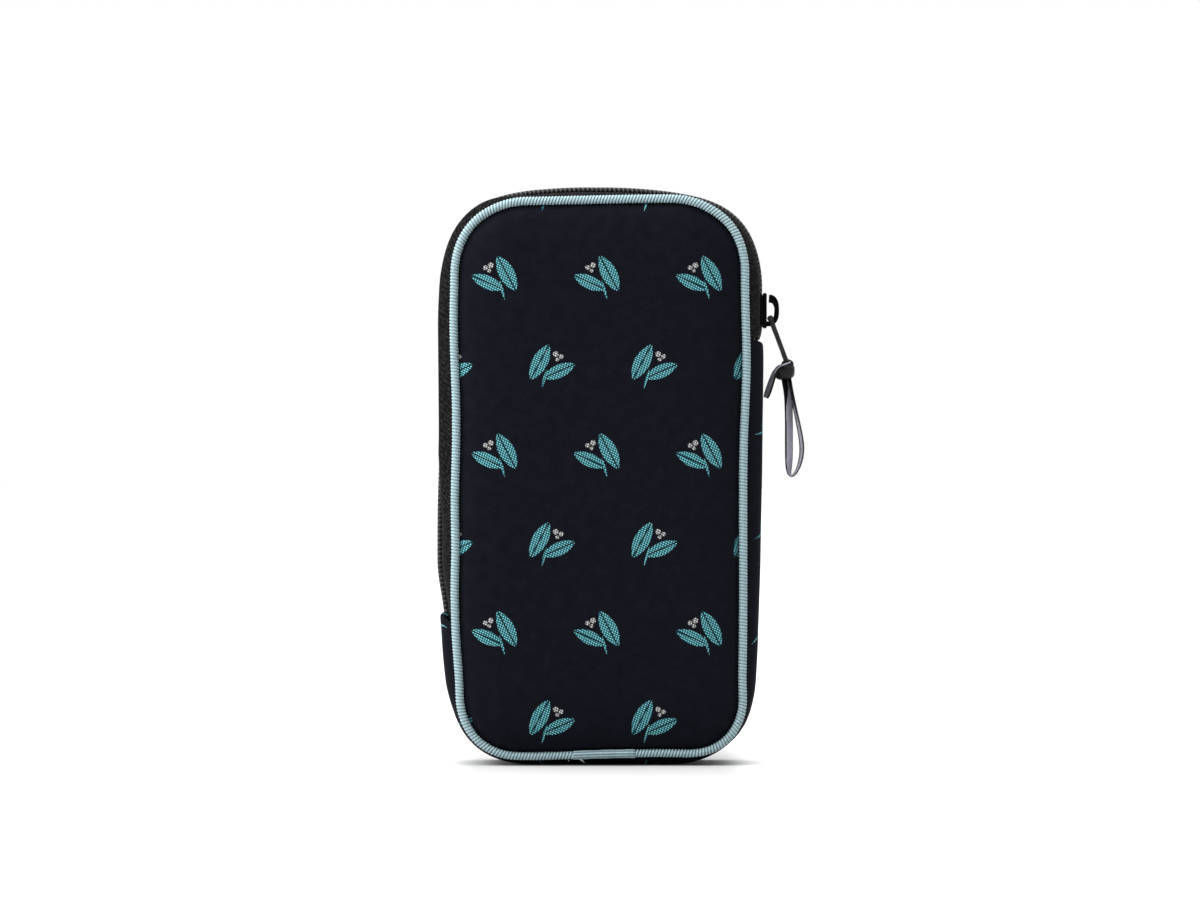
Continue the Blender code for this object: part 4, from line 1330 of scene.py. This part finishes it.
coil_nylon, coil_tree, coil_shader = new_finish("black nylon", specular=0.2)
coil_dust = noise_over(coil_tree, coordinates(coil_tree, "Object"), COIL_DUST_SCALE)
coil_tree.links.new(
    mixed(coil_tree, coil_dust, COIL_DARK, COIL_LIGHT), coil_shader.inputs["Base Color"]
)
coil_rough = value_of(
    coil_tree, "MULTIPLY_ADD", coil_dust, COIL_ROUGHNESS_SPREAD, COIL_ROUGHNESS
)
coil_tree.links.new(coil_rough, coil_shader.inputs["Roughness"])
stitch_thread = plain_cloth("stitch thread", STITCH_DARK, STITCH_LIGHT, STITCH_PITCH)

back_zip_coil = zip_coil("back_zip_coil", 1)
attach(back_zip_coil, "body")
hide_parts("zip_coil_back")
front_zip_coil = zip_coil("front_zip_coil", -1)
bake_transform(front_zip_coil)
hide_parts("zip_coil_front", "zip_coil_front_end")
back_zip_stitches = zip_stitches("back_zip_stitches", 1)
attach(back_zip_stitches, "body")
front_zip_stitches = zip_stitches("front_zip_stitches", -1)
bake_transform(front_zip_stitches)


# The slider. Cast in zinc and enamelled black: two plates joined by a wedge, flanges that hold the
# coils in, and on top a thick D-shaped bridge, open by a slit at its upper end, on which the pull
# hangs.
SLIDER_LOW = 146.0 * MM
SLIDER_HIGH = 157.8 * MM
SLIDER_HALF_WIDTH = 4.4 * MM
SLIDER_NOSE_HALF_WIDTH = 3.9 * MM
SLIDER_CORNER = 1.3 * MM
CORNER_SEGMENTS = 6
SLIDER_BEVEL = 0.3 * MM
RIM_SEGMENTS = 2
OUTER_PLATE = (54.7108 * MM, 55.9608 * MM)
INNER_PLATE = (49.7108 * MM, 50.8108 * MM)
FLANGE_LOW = 52.6 * MM
FLANGE_THICKNESS = 0.9 * MM
FLANGE_MARGIN = 0.7 * MM
FLANGE_SET_IN = 0.12 * MM
FLANGE_SEAT = 0.4 * MM
FLANGE_EDGE = 0.2 * MM
WEDGE_HALF_WIDTH = 0.55 * MM
WEDGE_LENGTH = 3.5 * MM
WEDGE_SEAT = 0.5 * MM
WEDGE_START = 0.4 * MM
WEDGE_POINT_SHARE = 0.15
LEVEL_REACH = 0.01 * MM
CAST_ANGLE = math.radians(35)
ENAMEL_SPOT_SCALE = 700.0
ENAMEL_DARK_SHARE = 0.3
ENAMEL_ROUGHNESS = 0.18
ENAMEL_ROUGHNESS_SPREAD = 0.25
ENAMEL_RELIEF = 0.02 * MM
BRIDGE_HALF_DEPTH = 0.85 * MM
BRIDGE_SIDES = 16
BRIDGE_ROUND_SHARE = 0.45
BRIDGE_END_SHARE = 0.86
BRIDGE_STEPS = 3
BRIDGE_PATH = (
    (54.9, 147.55, 1.7),
    (56.3, 147.5, 1.7),
    (57.4, 147.6, 1.65),
    (58.5, 148.35, 1.65),
    (59.15, 149.7, 1.7),
    (59.38, 151.3, 1.65),
    (59.37, 152.8, 1.65),
    (59.1, 154.2, 1.9),
    (58.55, 155.2, 2.3),
    (57.75, 155.8, 2.75),
    (57.05, 155.95, 2.75),
    (56.75, 155.98, 2.6),
)


def enamel(name, light, gloss):
    """Black enamel on cast metal, a little uneven in its gloss."""
    made, tree, shader = new_finish(name, specular=gloss)
    spots = noise_over(tree, coordinates(tree, "Object"), ENAMEL_SPOT_SCALE, detail=3.0)
    dark, lit = (ENAMEL_DARK_SHARE * light,) * 3, (light,) * 3
    rough = value_of(tree, "MULTIPLY_ADD", spots, ENAMEL_ROUGHNESS_SPREAD, ENAMEL_ROUGHNESS)
    tree.links.new(mixed(tree, spots, dark, lit), shader.inputs["Base Color"])
    tree.links.new(rough, shader.inputs["Roughness"])
    tree.links.new(bump_from(tree, spots, ENAMEL_RELIEF), shader.inputs["Normal"])
    return made


slider_enamel = enamel("black enamel", 0.003, 0.03)


def block(low, high):
    """A box between two corners."""
    bpy.ops.object.select_all(action="DESELECT")
    middle = [(a + b) / 2 for a, b in zip(low, high)]
    bpy.ops.mesh.primitive_cube_add(size=1, calc_uvs=False, location=middle)
    made = bpy.context.active_object
    made.scale = [b - a for a, b in zip(low, high)]
    bpy.ops.object.transform_apply(location=True, rotation=True, scale=True)
    return made


def select_edges(piece, wanted):
    """Leaves a piece in edit mode, with the edges selected whose two ends pass a test."""
    pick(piece)
    bpy.ops.object.mode_set(mode="EDIT")
    bpy.ops.mesh.select_mode(type="EDGE")
    bpy.ops.mesh.select_all(action="DESELECT")
    shaped = bmesh.from_edit_mesh(piece.data)
    for edge in shaped.edges:
        if wanted(edge.verts[0].co, edge.verts[1].co):
            edge.select_set(True)
    bmesh.update_edit_mesh(piece.data)


def round_edges(piece, width, wanted=lambda a, b: True, segments=RIM_SEGMENTS):
    """Bevels the edges whose two ends pass a test."""
    select_edges(piece, wanted)
    bpy.ops.mesh.bevel(offset=width, segments=segments, affect="EDGES")
    bpy.ops.object.mode_set(mode="OBJECT")


def narrow_top(piece, height, share):
    """Scales the top of a piece across Y."""
    select_edges(piece, lambda a, b: min(a.z, b.z) > height - LEVEL_REACH)
    bpy.ops.transform.resize(value=(1, share, 1), center_override=(0, 0, height))
    bpy.ops.object.mode_set(mode="OBJECT")


def slant_top(piece, height, move):
    """Moves the top of a piece along Y."""
    select_edges(piece, lambda a, b: min(a.z, b.z) > height - LEVEL_REACH)
    bpy.ops.transform.translate(value=(0, move, 0))
    bpy.ops.object.mode_set(mode="OBJECT")


def joined(name, parts, finish):
    """Several parts as one piece, with its finish."""
    bpy.ops.object.select_all(action="DESELECT")
    for part in parts:
        part.select_set(True)
    made = parts[0]
    bpy.context.view_layer.objects.active = made
    bpy.ops.object.join()
    made.name = made.data.name = name
    made.data.materials.clear()
    made.data.materials.append(finish)
    bpy.ops.object.shade_smooth_by_angle(angle=CAST_ANGLE)
    return made


def slider_plate(low, high):
    """One plate: a block narrowed to its nose, with round corners and bevelled rims."""
    plate = block((low, -SLIDER_HALF_WIDTH, SLIDER_LOW), (high, SLIDER_HALF_WIDTH, SLIDER_HIGH))
    narrow_top(plate, SLIDER_HIGH, SLIDER_NOSE_HALF_WIDTH / SLIDER_HALF_WIDTH)
    round_edges(
        plate, SLIDER_CORNER, lambda a, b: abs(a.x - b.x) > SLIDER_BEVEL, CORNER_SEGMENTS
    )
    round_edges(plate, SLIDER_BEVEL, lambda a, b: abs(a.x - b.x) < LEVEL_REACH)
    return plate


def smooth_path(values, steps):
    """Rows of numbers with more rows between them, on a smooth curve through all of them."""
    found = []
    last = len(values) - 1
    for i in range(last):
        before, first = values[max(i - 1, 0)], values[i]
        second, after = values[i + 1], values[min(i + 2, last)]
        for k in range(steps):
            t = k / steps
            row = []
            for a, b, c, d in zip(before, first, second, after):
                bent = (2 * a - 5 * b + 4 * c - d) * t * t + (3 * b - a - 3 * c + d) * t * t * t
                row.append(0.5 * (2 * b + (c - a) * t + bent))
            found.append(row)
    found.append(list(values[last]))
    return found


def bridge_rows():
    """The bridge's sections, rounded rectangles. A row of its path is x, z and the thickness."""
    rows = []
    path = smooth_path(BRIDGE_PATH, BRIDGE_STEPS)
    for k, (x, z, thick) in enumerate(path):
        before, after = path[max(k - 1, 0)], path[min(k + 1, len(path) - 1)]
        ahead = Vector((after[0] - before[0], 0, after[1] - before[1])).normalized()
        across = Vector((-ahead.z, 0, ahead.x))
        end_share = BRIDGE_END_SHARE if k in (0, len(path) - 1) else 1.0
        row = []
        for j in range(BRIDGE_SIDES):
            angle = 2 * math.pi * (j + 0.5) / BRIDGE_SIDES
            side, deep = squared_off(angle, BRIDGE_ROUND_SHARE)
            offset = across * side * thick / 2 * MM + Vector((0, deep * BRIDGE_HALF_DEPTH, 0))
            row.append(Vector((x * MM, 0, z * MM)) + end_share * offset)
        rows.append(row)
    return rows


def slider_flange(side):
    """The rim along one side of the outer plate, which reaches down beside the coil."""
    inner, outer = SLIDER_HALF_WIDTH - FLANGE_THICKNESS, SLIDER_HALF_WIDTH - FLANGE_SET_IN
    low, high = sorted((side * inner, side * outer))
    top = SLIDER_HIGH - FLANGE_MARGIN
    flange = block(
        (FLANGE_LOW, low, SLIDER_LOW + FLANGE_MARGIN), (OUTER_PLATE[0] + FLANGE_SEAT, high, top)
    )
    slant_top(flange, top, side * (SLIDER_NOSE_HALF_WIDTH - SLIDER_HALF_WIDTH))
    round_edges(flange, FLANGE_EDGE)
    return flange


wedge_top = SLIDER_LOW + WEDGE_LENGTH
slider_wedge = block(
    (INNER_PLATE[0] + WEDGE_SEAT, -WEDGE_HALF_WIDTH, SLIDER_LOW + WEDGE_START),
    (OUTER_PLATE[1] - WEDGE_SEAT, WEDGE_HALF_WIDTH, wedge_top),
)
narrow_top(slider_wedge, wedge_top, WEDGE_POINT_SHARE)
slider_casting = joined(
    "slider_casting",
    [
        slider_plate(*OUTER_PLATE),
        slider_plate(*INNER_PLATE),
        slider_flange(-1),
        slider_flange(1),
        slider_wedge,
        mesh_piece("slider_bridge", *closed_loft(bridge_rows())),
    ],
    slider_enamel,
)
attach(slider_casting, "slider")
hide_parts("slider_body")


# The pull. A slim flat frame of the same casting, hooked round the bridge by an eye at its top. A
# bar closes its foot, and the ribbon is drawn through the slot above that bar.
PULL_PIN = Vector((57.2608, 0, 149.325)) * MM
PULL_LEAN = math.radians(20.4)
PULL_HALF_THICKNESS = 0.76 * MM
PULL_HALF_WIDTH = 2.05 * MM
PULL_WINDOW_HALF = 1.15 * MM
PULL_SLOT_HALF = 1.3 * MM
PULL_REACH = 15.9 * MM
PULL_FOOT = 0.575 * MM
PULL_WINDOW_END = 4.9 * MM
PULL_SLOT_LENGTH = 2.7 * MM
EYE_RADIUS = 1.02 * MM
PIN_RADIUS = 0.56 * MM
FOOT_RADIUS = 0.86 * MM
PULL_EDGE = 0.28 * MM
PULL_RIM = 0.2 * MM
PIN_RIM = 0.05 * MM
EYE_OVERLAP = 0.3 * MM
BAR_OVERLAP = 0.6 * MM
ROUND_SIDES = 20


def pull_bar(low, high, top, bottom):
    """A straight bar of the hanging pull, between two places across it and two below its pin."""
    bar = block((-PULL_HALF_THICKNESS, low, -bottom), (PULL_HALF_THICKNESS, high, -top))
    round_edges(bar, PULL_EDGE)
    return bar


def turned_bar(radius, low, high, down, edge):
    """A round bar across the hanging pull, its rims softened."""
    bpy.ops.object.select_all(action="DESELECT")
    bpy.ops.mesh.primitive_cylinder_add(
        vertices=ROUND_SIDES,
        radius=radius,
        depth=high - low,
        calc_uvs=False,
        location=(0, (low + high) / 2, -down),
        rotation=(math.radians(90), 0, 0),
    )
    bpy.ops.object.transform_apply(location=True, rotation=True, scale=True)
    made = bpy.context.active_object
    round_edges(made, edge, lambda a, b: abs(a.y - b.y) < LEVEL_REACH)
    return made


slot_top = PULL_REACH - PULL_FOOT - PULL_SLOT_LENGTH
pin_half = PULL_WINDOW_HALF + PULL_RIM
pull_parts = [
    turned_bar(PIN_RADIUS, -pin_half, pin_half, 0, PIN_RIM),
    turned_bar(FOOT_RADIUS, -PULL_HALF_WIDTH, PULL_HALF_WIDTH, PULL_REACH, PULL_RIM),
    pull_bar(-PULL_HALF_WIDTH, PULL_HALF_WIDTH, PULL_WINDOW_END, slot_top),
]
for side in (-1, 1):
    low, high = sorted((side * PULL_WINDOW_HALF, side * PULL_HALF_WIDTH))
    pull_parts.append(turned_bar(EYE_RADIUS, low, high, 0, PULL_RIM))
    for half, top, bottom in (
        (PULL_WINDOW_HALF, EYE_OVERLAP, PULL_WINDOW_END + BAR_OVERLAP),
        (PULL_SLOT_HALF, slot_top - BAR_OVERLAP, PULL_REACH),
    ):
        low, high = sorted((side * half, side * PULL_HALF_WIDTH))
        pull_parts.append(pull_bar(low, high, top, bottom))
# The pull's enamel is the slider's, lighter in colour as a painted highlight along the bar, and
# glossier.
pull_enamel = enamel("lightened black enamel", 0.007, 0.3)
pull_frame = joined("pull_frame", pull_parts, pull_enamel)
pull_frame.rotation_euler = (0, -PULL_LEAN, 0)
pull_frame.location = PULL_PIN
bpy.ops.object.transform_apply(location=True, rotation=True, scale=True)
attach(pull_frame, "pull")
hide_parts("pull_tab")


# The ribbon. A narrow satin ribbon, black at its edges and behind, and lilac-grey down its face. It
# is doubled through the pull's slot and knotted under it, with a long loop and one short tail.
RIBBON_PIVOT = Vector((62.8031, 0, 134.4222)) * MM
RIBBON_HALF_THICKNESS = 0.17 * MM
RIBBON_COLUMNS = 20
RIBBON_STEPS = 5
RIBBON_CUP = 0.12 * MM
RIBBON_EDGE_SHARE = 0.6
RIBBON_EDGE_RISE = 3.0
RIBBON_ANGLE = math.radians(50)
RIBBON_REACH = 0.0005 * MM
RIBBON_BLACK = (0.0065, 0.0065, 0.0070)
RIBBON_LILAC = (0.55, 0.54, 0.65)
RIBBON_SHADES = (0.75, 1.25)
RIBBON_GRAIN_SCALE = 2600.0
RIBBON_RELIEF = 0.03 * MM
LILAC_EDGE = 0.2
TURN_RADIUS = 1.16 * MM
TURN_HALF_THICKNESS = 0.22 * MM
TURN_HALF_WIDTH = 1.0 * MM
TURN_ROUND_SHARE = 0.5
TURN_STEPS = 28
TURN_SIDES = 10
KNOT_CENTRE = Vector((62.25, 0, 131.15)) * MM
KNOT_PROFILE = (
    (0, 3.25), (30, 3.7), (55, 3.7), (90, 2.9), (120, 3.1), (150, 3.7), (180, 3.9), (210, 3.6),
    (240, 2.9), (270, 2.55), (300, 2.7), (330, 3.0), (360, 3.25),
)
KNOT_CLEARANCE = 0.93 * MM
KNOT_HALF_DEPTH = 2.9 * MM
KNOT_TURNS = 36
KNOT_LEVELS = 20
KNOT_ROUND_SHARES = (0.7, 0.8)
KNOT_FOLD_SHARE = 0.07
KNOT_FOLDS = (0.55, 0.6, 0.2)
KNOT_FOLD_SIZE = 1.6 * MM
LEAST_REACH_SHARE = 0.02

LOOP_PATH = (
    (61.9, 130.2, 32, 0.7, 0.8, 2.0),
    (62.2, 128.0, 32, 0.6, 0.8, 2.2),
    (62.7, 125.5, 31, 0.35, 0.8, 2.4),
    (63.1, 122.5, 30, -0.2, 0.85, 2.6),
    (63.3, 119.0, 30, -0.7, 0.85, 2.7),
    (63.4, 114.0, 30, -0.7, 0.85, 2.7),
    (63.4, 108.5, 30, -0.7, 0.85, 2.7),
    (63.4, 103.0, 29, -0.7, 0.85, 2.7),
    (63.35, 99.6, 24, -0.7, 0.8, 2.7),
    (63.5, 97.5, 16, -0.6, 0.6, 2.7),
    (64.15, 96.45, 8, -0.5, 0.5, 2.7),
    (65.2, 96.7, 6, -0.45, 0.45, 2.7),
    (66.3, 98.2, 8, -0.45, 0.45, 2.7),
    (67.25, 100.6, 11, -0.45, 0.45, 2.7),
    (67.85, 103.6, 13, -0.45, 0.45, 2.7),
    (67.9, 106.8, 14, -0.45, 0.45, 2.7),
    (67.4, 110.5, 13, -0.45, 0.45, 2.7),
    (66.6, 114.5, 12, -0.4, 0.4, 2.7),
    (65.75, 118.5, 11, -0.2, 0.4, 2.6),
    (64.9, 122.5, 12, 0.5, 0.6, 2.4),
    (64.2, 126.0, 14, 0.6, 0.7, 2.2),
    (63.6, 129.8, 16, 0.6, 0.7, 2.0),
)
TAIL_PATH = (
    (61.6, 133.2, 6, -0.6, 0.6, 2.3),
    (60.2, 132.75, 8, -0.6, 0.6, 2.5),
    (58.95, 131.4, 13, -0.6, 0.6, 2.6),
    (58.2, 129.4, 18, -0.6, 0.75, 2.7),
    (57.45, 127.2, 20, -0.6, 0.75, 2.7),
    (56.8, 125.2, 21, -0.6, 0.75, 2.7),
    (56.2, 123.5, 20, -0.6, 0.75, 2.6),
    (55.8, 122.6, 16, -0.6, 0.75, 2.4),
)
# A painted highlight: the pale line over the knot's front, drawn as a thin lilac bar.
KNOT_GLINT_PATH = (
    (64.2, -2.7, 134.9),
    (63.5, -3.3, 134.45),
    (62.4, -3.5, 134.0),
    (61.2, -3.4, 133.6),
    (60.1, -3.05, 133.0),
    (59.1, -2.4, 132.0),
    (58.5, -1.9, 130.8),
)
KNOT_GLINT_RADIUS = 0.24 * MM
KNOT_GLINT_SIDES = 8
KNOT_GLINT_STEPS = 4
FRONT_FOLD_CENTRE = Vector((62.95, -2.75, 133.9)) * MM
FRONT_FOLD_HALF = Vector((2.1, 0.6, 1.65)) * MM
FRONT_FOLD_LEVELS = 12
FRONT_FOLD_SIDES = 20
FRONT_FOLD_SHARE = 0.6


def ribbon_strap(path, facing):
    """(points, faces, lilac) of a flat strap, with its lilac face on the facing side.

    A row of the path is x, z, the turn from Y in degrees, where the lilac starts and ends across
    it, and the half width.
    """
    rows, lilac = [], []
    smooth = smooth_path(path, RIBBON_STEPS)
    for k, (x, z, turn, start, end, half) in enumerate(smooth):
        before, after = smooth[max(k - 1, 0)], smooth[min(k + 1, len(smooth) - 1)]
        ahead = Vector((after[0] - before[0], 0, after[1] - before[1])).normalized()
        side = Vector((-ahead.z, 0, ahead.x))
        angle = math.radians(turn) * facing
        across = math.cos(angle) * Vector((0, 1, 0)) + math.sin(angle) * side
        out = facing * ahead.cross(across).normalized()
        row = []
        for face in (1, -1):
            for j in range(RIBBON_COLUMNS + 1):
                share = face * (2 * j / RIBBON_COLUMNS - 1)
                edge = min(1.0, RIBBON_EDGE_RISE * (1.0 - abs(share)) ** 0.5 + RIBBON_EDGE_SHARE)
                cup = RIBBON_CUP * share * share
                point = Vector((x, 0, z)) * MM + share * half * MM * across
                row.append(point + (face * RIBBON_HALF_THICKNESS * edge + cup) * out)
                lilac.append(1.0 if face > 0 and start < share < end else 0.0)
        rows.append(row)
    points, faces = closed_loft(rows)
    return points, faces, lilac


def knot_glint_line():
    """A pale lilac bar over the front of the knot: a painted highlight along the edge of the
    ribbon's fold.
    """
    path = [Vector(p) * MM for p in smooth_path(KNOT_GLINT_PATH, KNOT_GLINT_STEPS)]
    points, faces = swept_bar(path, [KNOT_GLINT_RADIUS] * len(path), KNOT_GLINT_SIDES)
    return points, faces, [1.0] * len(points)


def front_fold():
    """The fold of the ribbon that covers the front of the pull's foot."""
    rows = []
    for i in range(FRONT_FOLD_LEVELS + 1):
        tilt = math.pi * i / FRONT_FOLD_LEVELS
        reach = max(math.sin(tilt), LEAST_REACH_SHARE) ** FRONT_FOLD_SHARE
        row = []
        for j in range(FRONT_FOLD_SIDES):
            angle = 2 * math.pi * j / FRONT_FOLD_SIDES
            out = Vector((reach * math.cos(angle), -math.cos(tilt), reach * math.sin(angle)))
            row.append(FRONT_FOLD_CENTRE + FRONT_FOLD_HALF * out)
        rows.append(row)
    return closed_loft(rows)


def knot_solid():
    """The knot's body: a rounded lump with the shallow folds of the ribbon wound round it.

    Its profile gives (direction in degrees, how far out in mm).
    """
    side_share, deep_share = KNOT_ROUND_SHARES
    rows = []
    for i in range(KNOT_LEVELS + 1):
        tilt = math.pi * i / KNOT_LEVELS
        round_share = max(math.sin(tilt), LEAST_REACH_SHARE) ** side_share
        y = -KNOT_HALF_DEPTH * squared_off(tilt, deep_share)[0]
        row = []
        for j in range(KNOT_TURNS):
            angle = 360 * j / KNOT_TURNS
            reach = float(np.interp(angle, *zip(*KNOT_PROFILE))) * MM * round_share
            x = reach * math.cos(math.radians(angle))
            z = reach * math.sin(math.radians(angle))
            folds = Vector((KNOT_FOLDS[0] * x + KNOT_FOLDS[1] * z, y, KNOT_FOLDS[2] * z))
            wound = noise.noise(folds / KNOT_FOLD_SIZE)
            place = KNOT_CENTRE + Vector((x, y, z)) * (1 + KNOT_FOLD_SHARE * wound)
            away = Vector((place.x - RIBBON_PIVOT.x, 0, place.z - RIBBON_PIVOT.z))
            if away.length < KNOT_CLEARANCE:
                place += away.normalized() * (KNOT_CLEARANCE - away.length)
            row.append(place)
        rows.append(row)
    return closed_loft(rows)


def foot_turn():
    """The ribbon's tight turn round the foot of the pull, bunched to the width of the slot."""
    rows = []
    for k in range(TURN_STEPS + 1):
        angle = 2 * math.pi * k / TURN_STEPS
        out = Vector((math.cos(angle), 0, math.sin(angle)))
        row = []
        for j in range(TURN_SIDES):
            section = 2 * math.pi * (j + 0.5) / TURN_SIDES
            reach = TURN_RADIUS + TURN_HALF_THICKNESS * math.cos(section)
            deep = TURN_HALF_WIDTH * squared_off(section, TURN_ROUND_SHARE)[1]
            row.append(RIBBON_PIVOT + out * reach + Vector((0, deep, 0)))
        rows.append(row)
    return closed_loft(rows)


ribbon_cloth, ribbon_tree, ribbon_shader = new_finish(
    "satin ribbon", specular=0.2, roughness=0.45
)
lilac_share = ribbon_tree.nodes.new("ShaderNodeAttribute")
lilac_share.attribute_name = "lilac"
lilac_step = soft_step(
    ribbon_tree, value_of(ribbon_tree, "SUBTRACT", lilac_share.outputs["Fac"], 0.5), LILAC_EDGE
)
ribbon_grain = noise_over(ribbon_tree, coordinates(ribbon_tree, "Object"), RIBBON_GRAIN_SCALE)
lilac_shades = [tuple(shade * c for c in RIBBON_LILAC) for shade in RIBBON_SHADES]
ribbon_face = mixed(ribbon_tree, ribbon_grain, *lilac_shades)
ribbon_tree.links.new(
    mixed(ribbon_tree, lilac_step, RIBBON_BLACK, ribbon_face), ribbon_shader.inputs["Base Color"]
)
ribbon_tree.links.new(
    bump_from(ribbon_tree, ribbon_grain, RIBBON_RELIEF), ribbon_shader.inputs["Normal"]
)

ribbon_solids, ribbon_lilac = [], []
for solid_points, solid_faces, shown in (
    (*knot_solid(), None),
    (*foot_turn(), None),
    (*front_fold(), None),
    knot_glint_line(),
    ribbon_strap(LOOP_PATH, 1),
    ribbon_strap(TAIL_PATH, -1),
):
    ribbon_solids.append((solid_points, solid_faces))
    ribbon_lilac += shown or [0.0] * len(solid_points)
knotted_ribbon = piece_of("knotted_ribbon", *gathered(ribbon_solids))
set_layer(knotted_ribbon, "lilac", ribbon_lilac)
merge_points(knotted_ribbon, RIBBON_REACH)
pick(knotted_ribbon)
bpy.ops.object.shade_smooth_by_angle(angle=RIBBON_ANGLE)
knotted_ribbon.data.materials.append(ribbon_cloth)
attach(knotted_ribbon, "ribbon")
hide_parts("pull_ribbon")
